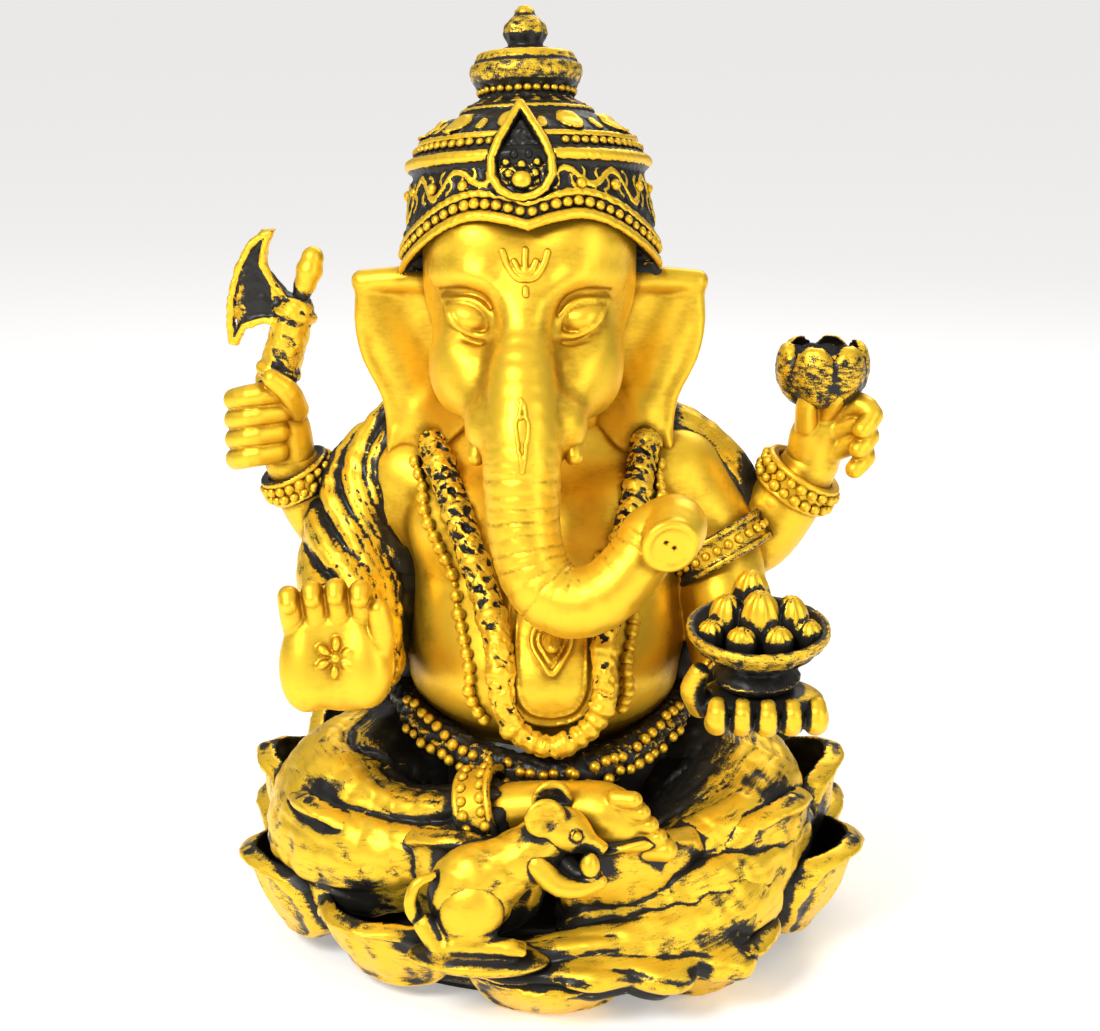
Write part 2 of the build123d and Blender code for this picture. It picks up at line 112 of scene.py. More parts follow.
def brick(p, c, half, m=None, rounding=1.0):
    """A box with rounded edges, from its half sizes."""
    q = np.abs(into(p, c, m)) - vec(*half) + rounding
    return length(np.maximum(q, 0)) + np.minimum(q.max(1), 0) - rounding


def about(p, c, along):
    """Where points lie about an axis through c: the height along it and the distance from it."""
    q = p - vec(*c)
    h = q @ unit(along).astype(np.float32)
    return h, np.sqrt(np.maximum(np.einsum("ij,ij->i", q, q) - h * h, 0))


def hoop(p, c, along, big, small):
    """A ring round an axis."""
    h, rho = about(p, c, along)
    return np.sqrt((rho - big) ** 2 + h * h) - small


def limb(p, points, radii, with_path=False):
    """A chain of round cones. with_path also gives the distance run along the chain."""
    best = np.full(len(p), 1e9, np.float32)
    run = np.zeros(len(p), np.float32)
    s0 = 0.0
    for a, b, ra, rb in zip(points, points[1:], radii, radii[1:]):
        a, b = vec(*a), vec(*b)
        ab = b - a
        span = float(np.linalg.norm(ab))
        t = np.clip((p - a) @ ab / span**2, 0, 1)
        d = length(p - a - t[:, None] * ab) - (ra + (rb - ra) * t)
        near = d < best
        best = np.where(near, d, best)
        run = np.where(near, s0 + t * span, run)
        s0 += span
    return (best, run) if with_path else best


def join(k, *fields):
    """A smooth union."""
    out = fields[0]
    for d in fields[1:]:
        h = np.clip(0.5 + 0.5 * (out - d) / k, 0, 1)
        out = out + (d - out) * h - k * h * (1 - h)
    return out


def carve(out, d, k=1.0):
    """out with d taken away, smoothly."""
    h = np.clip(0.5 - 0.5 * (out + d) / k, 0, 1)
    return out + (-d - out) * h + k * h * (1 - h)


def both(a, b, k=1.0):
    """A smooth intersection."""
    h = np.clip(0.5 - 0.5 * (a - b) / k, 0, 1)
    return a + (b - a) * h + k * h * (1 - h)


def stroke(p, points, width):
    """1 on a line of points, falling off to 0 over width."""
    d = limb(p, points, [0] * len(points))
    return np.exp(-((d / width) ** 2))


def step(x, low, high):
    """0 below low and 1 above high, with a soft rise between them."""
    t = np.clip((x - low) / (high - low), 0, 1)
    return t * t * (3 - 2 * t)


def curve(points, count):
    """A smooth line through points, sampled evenly."""
    pts = np.array(points, float)
    ext = np.vstack([2 * pts[0] - pts[1], pts, 2 * pts[-1] - pts[-2]])
    out = []
    for i in range(len(pts) - 1):
        a, b, c, d = ext[i:i + 4]
        for t in np.linspace(0, 1, 16, endpoint=False):
            square, cube = 2 * a - 5 * b + 4 * c - d, 3 * b - a - 3 * c + d
            out.append(0.5 * (2 * b + (c - a) * t + square * t**2 + cube * t**3))
    out = np.array([*out, pts[-1]])
    run = np.concatenate([[0], np.cumsum(np.linalg.norm(np.diff(out, axis=0), axis=1))])
    at = np.linspace(0, run[-1], count)
    return np.stack([np.interp(at, run, out[:, k]) for k in range(out.shape[1])], 1)


def smooth_limb(p, points, radii, count=24, with_path=False):
    """A limb whose path and radii are smoothed."""
    line = curve([(*q, r) for q, r in zip(points, radii)], count)
    return limb(p, line[:, :3], line[:, 3], with_path)


def outline(x, z, points):
    """The signed distance to a closed outline in a plane."""
    best = np.full(len(x), 1e9, np.float32)
    inside = np.zeros(len(x), bool)
    for (ax, az), (bx, bz) in zip(points, points[1:] + points[:1]):
        ex, ez = bx - ax, bz - az
        wx, wz = x - ax, z - az
        t = np.clip((wx * ex + wz * ez) / (ex * ex + ez * ez + 1e-9), 0, 1)
        best = np.minimum(best, (wx - ex * t) ** 2 + (wz - ez * t) ** 2)
        if az != bz:
            crosses = (az > z) != (bz > z)
            inside ^= crosses & (x < ex * (z - az) / (bz - az) + ax)
    return np.where(inside, -1, 1) * np.sqrt(best)


def rough(p, size, seed=0.0):
    """Soft lumps of about this size, from -1 to 1."""
    q = p * (2 * math.pi / size) + seed
    x, y, z = q[:, 0], q[:, 1], q[:, 2]
    return (np.sin(x + 1.7 * np.sin(y * 0.7 + z * 0.4)) + np.sin(y * 1.1 + 1.3 * np.sin(z * 0.8 + x * 0.5))
            + np.sin(z * 0.9 + 1.5 * np.sin(x * 0.6 + y * 0.9))) / 3


# ---- fields to meshes ----
CORES = 4
POOL = ThreadPoolExecutor(CORES)
CHUNK = 24000       # points that one core takes at a time
FAR = 9.0           # a distance that stands for well outside
BLOCK = 4           # mesh cells along each side of a coarse block


def evaluate(f, p):
    """The field at many points, in chunks that the processor's cores share."""
    p = np.ascontiguousarray(p, np.float32)
    if len(p) <= CHUNK:
        return f(p)
    return np.concatenate(list(POOL.map(f, [p[i:i + CHUNK] for i in range(0, len(p), CHUNK)])))


def fill_blocks(coarse):
    """Each block's value, given to all of its cells."""
    for k in range(3):
        coarse = np.repeat(coarse, BLOCK, k)
    return coarse


def surface(f, low, high, h):
    """Vertices and quads of f = 0 in a box, by surface nets on the cells that the surface may cross."""
    low = np.asarray(low, float) - 2 * h
    blocks = np.ceil((np.asarray(high, float) + 2 * h - low) / (BLOCK * h)).astype(int)
    axes = [low[k] + (np.arange(blocks[k]) + 0.5) * BLOCK * h for k in range(3)]
    mid = np.stack(np.meshgrid(*axes, indexing="ij"), -1).reshape(-1, 3)
    coarse = evaluate(f, mid).reshape(blocks)
    live = np.abs(coarse) < BLOCK * h * 1.25 + 1.2
    nodes = blocks * BLOCK + 1
    values = np.full(nodes, FAR, np.float32)
    values[:-1, :-1, :-1] = np.where(fill_blocks(coarse) < 0, -FAR, FAR)
    mask = np.zeros(nodes, bool)
    mask[:-1, :-1, :-1] = fill_blocks(live)
    mask[1:] |= mask[:-1].copy()
    mask[:, 1:] |= mask[:, :-1].copy()
    mask[:, :, 1:] |= mask[:, :, :-1].copy()
    where = np.argwhere(mask)
    values[mask] = evaluate(f, low + where * h)
    values[0], values[-1], values[:, 0], values[:, -1], values[:, :, 0], values[:, :, -1] = [FAR] * 6
    inside = values < 0
    cells = nodes - 1
    strides = np.array([cells[1] * cells[2], cells[2], 1])
    total = np.zeros((int(cells.prod()), 3), np.float32)
    count = np.zeros(int(cells.prod()), np.int32)
    faces = []
    for k in range(3):
        a = [slice(None)] * 3
        b = [slice(None)] * 3
        a[k], b[k] = slice(None, -1), slice(1, None)
        cross = np.argwhere(inside[tuple(a)] != inside[tuple(b)])
        v0 = values[tuple(cross.T)]
        ahead = cross.copy()
        ahead[:, k] += 1
        v1 = values[tuple(ahead.T)]
        at = cross.astype(np.float32)
        at[:, k] += v0 / (v0 - v1)
        u, w = (k + 1) % 3, (k + 2) % 3
        ring = []
        for du, dw in ((-1, -1), (0, -1), (0, 0), (-1, 0)):
            cell = cross.copy()
            cell[:, u] += du
            cell[:, w] += dw
            ring.append(cell @ strides)
        for ids in ring:
            count += np.bincount(ids, minlength=len(count)).astype(np.int32)
            for j in range(3):
                total[:, j] += np.bincount(ids, weights=at[:, j], minlength=len(count))
        quad = np.stack(ring, 1)
        faces.append(np.where((v0 < 0)[:, None], quad, quad[:, ::-1]))
    used = np.flatnonzero(count)
    index = np.full(len(count), -1, np.int64)
    index[used] = np.arange(len(used))
    verts = low + h * (total[used] / count[used, None])
    faces = index[np.concatenate(faces)]
    verts, normals = settle(f, verts, h)
    return verts, faces, normals


def slope(f, v, e=0.12):
    """The field's gradient."""
    corners = np.array([(1, -1, -1), (-1, -1, 1), (-1, 1, -1), (1, 1, 1)], np.float32)
    return sum(c * evaluate(f, v + c * e)[:, None] for c in corners) / (4 * e)


def unit_rows(v):
    return v / (np.linalg.norm(v, axis=1, keepdims=True) + 1e-9)


def settle(f, verts, h):
    """Moves vertices onto the surface, and gives their normals."""
    for _ in range(2):
        g = slope(f, verts)
        n2 = np.maximum(np.einsum("ij,ij->i", g, g), 0.05)
        move = -evaluate(f, verts)[:, None] * g / n2[:, None]
        size = np.linalg.norm(move, axis=1, keepdims=True) + 1e-9
        verts = verts + move * np.minimum(1, 0.6 * h / size)
    return verts, unit_rows(slope(f, verts))


def make_mesh(name, verts, faces, values=()):
    """A smooth-shaded mesh object from vertices in millimetres."""
    mesh = bpy.data.meshes.new(name)
    faces = np.asarray(faces)
    sides = faces.shape[1]
    mesh.vertices.add(len(verts))
    mesh.vertices.foreach_set("co", (np.asarray(verts, np.float32) / MM).ravel())
    mesh.loops.add(faces.size)
    mesh.loops.foreach_set("vertex_index", faces.astype(np.int32).ravel())
    mesh.polygons.add(len(faces))
    mesh.polygons.foreach_set("loop_start", np.arange(0, faces.size, sides, dtype=np.int32))
    mesh.polygons.foreach_set("use_smooth", np.ones(len(faces), bool))
    mesh.update(calc_edges=True)
    mesh.validate()
    for key, data in dict(values).items():
        data = np.asarray(data, np.float32)
        if data.ndim == 1:
            mesh.attributes.new(key, "FLOAT", "POINT").data.foreach_set("value", data)
        else:
            mesh.attributes.new(key, "FLOAT_VECTOR", "POINT").data.foreach_set("vector", (data / MM).ravel())
    piece = bpy.data.objects.new(name, mesh)
    bpy.context.scene.collection.objects.link(piece)
    return piece


PENDING = []        # pieces that wait until every field is known


def sculpt(name, f, material, h=H_SKIN, nodes=None, low=None, high=None, grow=4.0, inside=None,
           tone=None, path=None):
    """Queues a piece: f's surface inside the box of the CAD nodes that it stands for.

    nodes are those nodes, where they are not just the one of the piece's own name.

    grow is how far past that box the surface is looked for.
    inside is a point that a cup's inner faces look at: the gold hardly reaches them.
    tone gives at each point how much less gold (above 0) or more gold (below 0) lies there.
    path is the line that the brush strokes follow, where they follow one."""
    nodes = nodes or [name]
    if low is None:
        boxes = [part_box(n) for n in nodes]
        low = np.min([b[0] for b in boxes], 0) * MM - grow
        high = np.max([b[1] for b in boxes], 0) * MM + grow
    FIELDS[name] = (f, np.array(low, float), np.array(high, float))
    PENDING.append((name, f, low, high, h, nodes, material, inside, tone, path))


def shading(name, verts, normals):
    """How hollow (cavity) and how proud (ridge) each vertex lies, from this field and its neighbours'."""
    low, high = verts.min(0) - 14, verts.max(0) + 14
    others = [v for k, v in FIELDS.items() if np.all(v[1] < high) and np.all(v[2] > low)]
    cavity = np.zeros(len(verts))
    for reach, share in ((1.2, 0.45), (3.0, 0.35), (7.0, 0.3)):
        at = verts + normals * reach
        free = np.full(len(verts), 99.0)
        for f, lo, hi in others:
            close = np.all((at > lo - reach) & (at < hi + reach), axis=1)
            if close.any():
                free[close] = np.minimum(free[close], evaluate(f, at[close]))
        cavity += share * np.clip((reach - free) / reach, 0, 1.4)
    ridge = np.zeros(len(verts))
    if name in FIELDS:
        for reach in (0.9, 2.2):
            ridge += 0.5 * np.clip((reach + evaluate(FIELDS[name][0], verts - normals * reach)) / reach, 0,
                                   1.2)
    return {"cavity": cavity, "ridge": ridge}


def build_pending():
    """Builds the queued pieces, when all the fields that shade each other are known."""
    for name, f, low, high, h, nodes, material, inside, tone, path in PENDING:
        verts, faces, normals = surface(f, low, high, h)
        values = shading(name, verts, normals)
        if inside is not None:
            facing = np.einsum("ij,ij->i", unit_rows(np.array(inside) - verts), normals)
            values["cavity"] += 0.5 * step(facing, 0.05, 0.6)
        if tone is not None:
            values["cavity"] += tone(verts)
        if path is None:
            values["flow"] = verts * (0.35, 0.5, 1.0)
        else:
            run, aside, up = around(verts, path)
            values["flow"] = np.stack([0.16 * run, aside, up], 1)
        finish_piece(make_mesh(name, verts, faces, values), nodes, material)
    PENDING.clear()


def finish_piece(piece, nodes, material):
    """Gives a piece its look and body, and takes the CAD nodes that it stands for out of sight."""
    look, slot = material
    piece.data.materials.append(look)
    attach(piece, "root")
    fresh = [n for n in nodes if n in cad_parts]
    if fresh:
        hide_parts(*fresh)


# ---- small round trim ----
def bead_mesh(rings=9, sides=12):
    """A unit ball's vertices and triangles."""
    verts = [(0, 0, 1)]
    for i in range(1, rings):
        a = math.pi * i / rings
        verts += [(math.sin(a) * math.cos(b), math.sin(a) * math.sin(b), math.cos(a))
                  for b in np.arange(sides) * 2 * math.pi / sides]
    verts.append((0, 0, -1))
    faces = []
    for j in range(sides):
        k = (j + 1) % sides
        faces.append((0, 1 + j, 1 + k))
        for i in range(rings - 2):
            a, b = 1 + i * sides, 1 + (i + 1) * sides
            faces += [(a + j, b + j, b + k), (a + j, b + k, a + k)]
        a = 1 + (rings - 2) * sides
        faces.append((a + j, len(verts) - 1, a + k))
    return np.array(verts), np.array(faces)


BEAD_V, BEAD_F = bead_mesh()
BEAD_RIDGE = 0.6        # how proud every bead stands


def beads(name, centres, radii, node):
    """Round beads as one piece, each a little off in size and place."""
    centres = np.asarray(centres, float)
    radii = np.broadcast_to(np.asarray(radii, float), len(centres))
    verts, faces, normals = [], [], []
    for i, (c, r) in enumerate(zip(centres, radii)):
        r = r * (1 + 0.06 * RNG.standard_normal())
        verts.append(BEAD_V * r + c + 0.05 * r * RNG.standard_normal(3))
        normals.append(BEAD_V)
        faces.append(BEAD_F + i * len(BEAD_V))
    verts, normals = np.concatenate(verts), np.concatenate(normals)
    values = shading("", verts, normals)
    values["ridge"] = np.full(len(verts), BEAD_RIDGE)
    values["flow"] = verts
    finish_piece(make_mesh(name, verts, np.concatenate(faces), values), [node], BEAD)


def seat_on(f, points, out, steps=12):
    """Points moved onto f's surface and out from it."""
    p = np.asarray(points, float)
    for _ in range(steps):
        n = unit_rows(slope(f, p))
        p = p - 0.9 * evaluate(f, p)[:, None] * n
    return p + n * out


def spaced(points, gap):
    """Points at an even gap on a smooth line."""
    pts = curve(points, 200)
    run = np.linalg.norm(np.diff(pts, axis=0), axis=1).sum()
    return curve(points, max(2, int(run / gap) + 1))


# ---- materials ----
class Nodes:
    """Short calls for building one node tree."""

    def __init__(self, name):
        self.material = bpy.data.materials.new(name)
        self.material.use_nodes = True
        self.tree = self.material.node_tree
        self.tree.nodes.clear()

    def add(self, kind, inputs=(), **settings):
        node = self.tree.nodes.new(kind)
        for key, value in settings.items():
            setattr(node, key, value)
        for key, value in dict(inputs).items():
            if isinstance(value, bpy.types.NodeSocket):
                self.tree.links.new(value, node.inputs[key])
            else:
                node.inputs[key].default_value = value
        return node

    def math(self, kind, a, b=0.0, c=0.0):
        return self.add("ShaderNodeMath", {0: a, 1: b, 2: c}, operation=kind).outputs[0]

    def noise(self, vector, scale, detail, roughness):
        inputs = {"Vector": vector, "Scale": scale, "Detail": detail, "Roughness": roughness}
        return self.add("ShaderNodeTexNoise", inputs).outputs[0]

    def about_zero(self, value, share):
        """A noise's swing to either side of its middle, scaled."""
        return self.math("MULTIPLY", self.math("SUBTRACT", value, 0.5), share)

    def attribute(self, name, output="Fac"):
        return self.add("ShaderNodeAttribute", attribute_name=name).outputs[output]

    def bump(self, height, strength, distance):
        inputs = {"Height": height, "Strength": strength, "Distance": distance}
        return self.add("ShaderNodeBump", inputs).outputs[0]

    def finished(self, **inputs):
        """The material, with a Principled shader that has these inputs (an underscore stands for a space)."""
        shader = self.add("ShaderNodeBsdfPrincipled", {key.replace("_", " "): v for key, v in inputs.items()})
        self.add("ShaderNodeOutputMaterial", {"Surface": shader.outputs[0]})
        return self.material

    def ramp(self, value, low, high):
        return self.add("ShaderNodeMapRange", {"Value": value, "From Min": low, "From Max": high},
                        interpolation_type="SMOOTHSTEP").outputs[0]

    def mix(self, share, a, b):
        return self.add("ShaderNodeMix", {0: share, 6: a, 7: b}, data_type="RGBA").outputs[2]


# The second gold is a deep brown: painted shade where the gold lies in hollows, and real unevenness where the
# brush streaked it.
GOLD, SHADE_AND_STREAK_GOLD = (0.95, 0.60, 0.035, 1.0), (0.50, 0.26, 0.010, 1.0)
BLACK, WORN_BLACK = (0.006, 0.006, 0.006, 1.0), (0.022, 0.019, 0.014, 1.0)


def gilded(name, cover, hollow, brush):
    """Black resin with metallic gold brushed over it.

    cover is how much gold lies on open surface, hollow how strongly a cavity keeps it off, and brush how
    uneven the brush leaves it."""
    n = Nodes(name)
    place = n.add("ShaderNodeTexCoord").outputs["Object"]
    cavity = n.attribute("cavity")
    streak = n.noise(n.attribute("flow", "Vector"), 800.0, 6.0, 0.65)
    patch = n.noise(place, 130.0, 5.0, 0.6)
    fine = n.noise(place, 2400.0, 3.0, 0.7)
    body = n.math("MULTIPLY_ADD", cavity, -hollow, cover)
    body = n.math("ADD", body, n.math("MULTIPLY", n.attribute("ridge"), 0.5 * hollow))
    for grain, share in ((streak, 4.0), (patch, 0.9), (fine, 3.6)):
        body = n.math("ADD", body, n.about_zero(grain, brush * share))
    gold = n.ramp(body, 0.37, 0.63)
    uneven = n.math("ADD", n.about_zero(patch, 0.5), n.about_zero(streak, -5.0 * brush))
    # The gold darkens to that deep brown in hollows, which is painted shade, and with the brush's streaks and
    # patches, which is real unevenness.
    shaded_and_streaked_gold = n.mix(n.ramp(n.math("ADD", cavity, uneven), 0.0, 0.5), GOLD, SHADE_AND_STREAK_GOLD)
    base = n.mix(gold, n.mix(fine, BLACK, WORN_BLACK), shaded_and_streaked_gold)
    matt = n.math("ADD", n.math("MULTIPLY_ADD", gold, 0.04, 0.36), n.about_zero(fine, 0.16))
    height = n.math("ADD", n.math("MULTIPLY", gold, 0.35), n.math("MULTIPLY", streak, 0.45))
    return n.finished(Base_Color=base, Metallic=n.math("MULTIPLY", gold, 0.72), Roughness=matt,
                      Normal=n.bump(height, 0.35, 0.00025), Specular_IOR_Level=0.3)


def grainy(name, scale, detail, grain, dark, light, strength, distance, matt):
    """A matt material with a fine grain."""
    n = Nodes(name)
    grit = n.noise(n.add("ShaderNodeTexCoord").outputs["Object"], scale, detail, grain)
    return n.finished(Base_Color=n.mix(grit, dark, light), Roughness=matt,
                      Normal=n.bump(grit, strength, distance))


# each look with its material slot
SKIN = (gilded("gold_skin", 1.12, 0.40, 0.08), "gold_skin")
BODY_GOLD = (gilded("gold_mouse", 0.82, 1.9, 0.16), "antique_gold")
CLOTH = (gilded("gold_cloth", 0.68, 2.6, 0.17), "antique_gold")
PETAL = (gilded("gold_petal", 0.60, 2.5, 0.19), "antique_gold")
RELIEF = (gilded("gold_relief", 0.50, 2.0, 0.22), "antique_gold")
DARK = (gilded("gold_dark", 0.34, 1.6, 0.30), "antique_gold")
BEAD = (gilded("gold_bead", 0.90, 1.0, 0.14), "antique_gold")
FELT = grainy("felt", 2500.0, 4.0, 0.8, (0.008, 0.008, 0.009, 1.0), (0.05, 0.048, 0.045, 1.0),
              0.8, 0.0004, 0.95)
RESIN = grainy("filler_resin", 600.0, 6.0, 0.7, (0.20, 0.18, 0.16, 1.0), (0.42, 0.39, 0.35, 1.0),
               0.5, 0.0005, 0.7)

# ---- body ----
# height, centre X and Y, half widths along X and Y
BODY = curve([
    (70, -1, 2, 36, 33), (76, -1, 0, 40, 37), (88, -2, -6, 44, 44), (102, -2, -8, 45, 45),
    (118, -2, -4, 43, 40),
    (134, -2, 4, 46, 33), (148, -2, 8, 50, 29), (160, -3, 9, 44, 25), (168, -4, 8, 30, 20),
    (176, -5, 6, 19, 16),
], 80)


def bare_torso(p):
    """Level ovals whose size changes with height."""
    z = p[:, 2]
    cx, cy, rx, ry = (np.interp(z, BODY[:, 0], BODY[:, k]) for k in range(1, 5))
    d = (np.sqrt(((p[:, 0] - cx) / rx) ** 2 + ((p[:, 1] - cy) / ry) ** 2) - 1) * np.minimum(rx, ry) * 0.95
    ends = np.maximum(z - 178, 68 - z)
    return both(d, ends, 6.0)


def torso(p):
    """The torso with its breasts and shoulders, and the crease above the belly."""
    d = bare_torso(p)
    d = join(9, d, egg(p, (-26, -16, 142), (19, 13, 17)), egg(p, (22, -16, 142), (19, 13, 17)))
    d = join(10, d, egg(p, (-44, 6, 156), (17, 16, 14)), egg(p, (38, 6, 155), (15, 14, 14)))
    crease = stroke(p, [(-42, -26, 120), (-26, -36, 125), (-8, -40, 124), (6, -40, 124), (24, -36, 125),
                        (40, -26, 120)], 3.5)
    return d + 1.3 * crease


def hips(p):
    """The gathered cloth round the waist and behind."""
    d = join(12, egg(p, (0, 14, 48), (62, 46, 30)), egg(p, (0, 6, 66), (48, 42, 24)))
    d = join(8, d, egg(p, (46, 2, 92), (12, 16, 20)), egg(p, (-48, 2, 92), (10, 16, 18)))
    wave = np.sin(np.arctan2(p[:, 1], p[:, 0]) * 26 + 1.5 * np.sin(p[:, 2] * 0.12))
    folds = 0.72 * wave * step(p[:, 1], -10, 14)
    return d + folds + 0.5 * rough(p, 14)


# ---- legs in their cloth ----
def around(p, path):
    """Where points lie about a path: the distance run along it, and the offset to its side and upwards."""
    _, run = limb(p, path, [0] * len(path), True)
    reach = np.concatenate([[0], np.cumsum(np.linalg.norm(np.diff(path, axis=0), axis=1))])
    ahead = np.gradient(path, axis=0)
    at = np.stack([np.interp(run, reach, path[:, k]) for k in range(3)], 1)
    along = unit_rows(np.stack([np.interp(run, reach, ahead[:, k]) for k in range(3)], 1))
    side = unit_rows(np.cross(along, [0.0, 0.0, 1.0]))
    off = p - at
    return run, np.einsum("ij,ij->i", off, side), np.einsum("ij,ij->i", off, np.cross(side, along))


def swept(p, d, path, amount, ridges, seed=0.0, drift=0.0):
    """Cloth folds that run along a path: broad rounded ridges with narrow valleys between them."""
    near = d < 3 * amount
    out = d.copy()
    run, aside, up = around(p[near], path)
    phi = np.arctan2(up, aside)
    sway = 0.8 * np.sin(run * 0.055 + seed) + 0.6 * np.sin(phi * 2 + seed + run * 0.02)
    x = 0.5 * ridges * phi + drift * run + sway
    valley = 1 - np.abs(np.cos(x))
    fine = 1 - np.abs(np.cos(3 * x + 0.05 * run + 1.3 * np.sin(run * 0.07 + 2 * seed)))
    size = amount * (0.55 + 0.45 * np.sin(phi * 3 + run * 0.045 + 2 * seed))
    out[near] += size * (valley ** 1.3 - 0.3) + 0.09 * amount * fine ** 2
    return out


RIGHT_LEG = curve([(-30, 4, 60), (-52, -6, 52), (-66, -18, 46), (-62, -37, 42), (-44, -50, 46),
                   (-28, -57, 54), (-20, -61, 60)], 14)
LEFT_LEG = curve([(28, 4, 58), (46, -6, 50), (60, -18, 45), (55, -40, 39), (36, -56, 33), (16, -63, 29)], 14)
FRONT_CLOTH = curve([(62, -44, 34), (48, -62, 26), (26, -74, 21), (4, -80, 19), (-12, -80, 18)], 12)


def right_leg(p):
    d = smooth_limb(p, [*RIGHT_LEG[::2], RIGHT_LEG[-1]], [25, 26.5, 26.5, 26, 23, 18.5, 14, 12.5], 14)
    d = join(8, d, egg(p, (-65, -18, 46), (26, 26, 25)))
    return swept(p, d, RIGHT_LEG, 4.6, 6, 0.6) + 0.3 * rough(p, 9)


def left_leg(p):
    d = smooth_limb(p, [*LEFT_LEG[::2], LEFT_LEG[-1]], [25, 26.5, 27, 26, 24, 21, 17, 15], 14)
    d = join(8, d, egg(p, (59, -18, 45), (26, 26, 26)))
    return swept(p, d, LEFT_LEG, 4.6, 6, 2.1) + 0.3 * rough(p, 9)


def waist_shadow(p):
    """The gold fades out on the cloth towards the waist."""
    return 0.34 * (1 - step(np.hypot(p[:, 0], p[:, 1] + 8), 40, 72))


def front_fold(p):
    """The cloth that falls from the left knee over the seat's front, with a scalloped hem."""
    d = smooth_limb(p, FRONT_CLOTH, [17, 17, 16.5, 15.5, 14.5, 14, 13, 12, 11, 10, 9, 8], 12)
    hems = [egg(p, c, r) for c, r in (((-10, -82, 18), (15, 9, 6)), ((10, -87, 17), (16, 8, 6)),
                                      ((31, -84, 16), (15, 9, 6.5)),
                                      ((51, -74, 18), (14, 11, 7)))]
    d = swept(p, join(4, d, *hems), FRONT_CLOTH, 3.6, 6, 4.0)
    a = np.arctan2(p[:, 1] + 36, p[:, 0] - 14)
    hem = 2.2 * (1 - np.abs(np.cos(a * 8))) * step(24 - p[:, 2], 0, 8)
    return d + hem + 0.3 * rough(p, 11, 2.0)


def hem_shadow(p):
    """No gold on the hem's underside."""
    return 0.5 * step(15 - p[:, 2], 0, 5)


# ---- foot ----
def foot(p):
    """The foot that lies across the lap, with its five toes."""
    d = smooth_limb(p, [(-16, -62, 63), (-5, -65, 65), (7, -68, 65.5), (16, -70, 65), (23, -71, 62.5)],
                    [8, 8.2, 8.8, 9.8, 8.6])
    for i, r in enumerate((2.9, 2.9, 3.0, 3.1, 3.9)):
        x, z = 21.0 + 2.5 * i, 73.0 - 4.1 * i
        d = join(0.8, d, limb(p, [(x - 1, -75.5, z - 1), (x + 4.6, -77.5, z - 0.6)], [r, r * 0.95]))
    return d


# ---- head ----
def face_half(p, s):
    """Cheek, jowl and brow on one side: s is -1 on the figure's right, and 1 on its left."""
    cx = -7.5
    cheek = egg(p, (cx + s * 16.5, -23, 200), (12.5, 15, 19), turn(0, s * -16, 0))
    jowl = limb(p, [(cx + s * 15, -27, 196), (cx + s * 10.5, -45, 182)], [11, 6.5])
    brow = smooth_limb(p, [(cx + s * 5, -38.5, 217.5), (cx + s * 10.5, -37.0, 224.0),
                           (cx + s * 18, -33.8, 227.5),
                           (cx + s * 27, -25.5, 225.5)], [1.4, 2.0, 2.2, 1.4], 10)
    return cheek, jowl, brow


def skull_plain(p):
    """The head with bare eyeballs in their sockets."""
    d = join(10, egg(p, (-6.5, -4, 222), (34, 34.5, 34)), egg(p, (-6.5, -12, 200), (25.5, 24, 22)))
    d = join(9, d, egg(p, (-20.5, -16, 236), (18, 20, 16)), egg(p, (7.5, -16, 236), (18, 20, 16)))
    for s in (-1, 1):
        cheek, jowl, brow = face_half(p, s)
        d = join(7, join(9, d, cheek, jowl), brow)
        d = carve(d, egg(p, (-7.5 + s * 17, -41.5, 214.3), (11.5, 6.5, 8.2), turn(0, s * -12, s * 16)), 6.5)
        d = join(0.8, d, egg(p, (-7.5 + s * 17.0, -30.4, 214.2), (8.0, 7.6, 5.4), turn(0, s * -14, s * 22)))
    return join(8, d, egg(p, (-7, -24, 186), (17, 16, 10)))


def skull(p):
    """The head with its eyelids and the creases above and below them."""
    d = skull_plain(p)
    for upper, lower in EYES:
        d = join(0.8, d, limb(p, upper, LID), limb(p, lower, LID * 0.85))
        above = stroke(p, upper[1:] + np.array([0, 0, 3.0]), 0.9)
        below = stroke(p, lower[1:] - np.array([0, 0, 2.6]), 0.9)
        d = d + above + 0.8 * below
    return d


def from_front(f, x, z, y=-75.0):
    """The points of f's surface that are seen from the front at x and z."""
    p = np.stack([x, np.full(len(x), y), z], 1)
    for _ in range(60):
        p[:, 1] += 0.7 * evaluate(f, p)
    return p


def eye_lines(s):
    """The almond's upper and lower lids, laid on the face."""
    inner, outer = (8.8, 209.6), (25.4, 218.6)
    upper = curve([inner, (11.9, 216.6), (17.3, 219.4), outer], 12)
    lower = curve([inner, (14.6, 208.7), (21.2, 211.9), outer], 12)
    return [from_front(skull_plain, -7.5 + s * line[:, 0],
                       line[:, 1]) - np.array([0, 0.7, 0]) for line in (upper, lower)]


LID = np.interp(np.arange(12), [0, 5, 11], [1.0, 1.5, 1.0])        # thickness along a lid
TRUNK_PATH = [(-7.5, -31, 226), (-8, -38.5, 211), (-8.5, -47.5, 196), (-8.5, -55, 178), (-8, -60.5, 155),
              (-4, -65, 140),
              (5, -68.5, 133), (16, -69.5, 135.5), (25, -67.5, 144), (31, -65.5, 152.5)]
TRUNK_R = [5.5, 7.2, 10.4, 12.2, 11.2, 11.0, 11.0, 10.4, 9.8, 9.4]


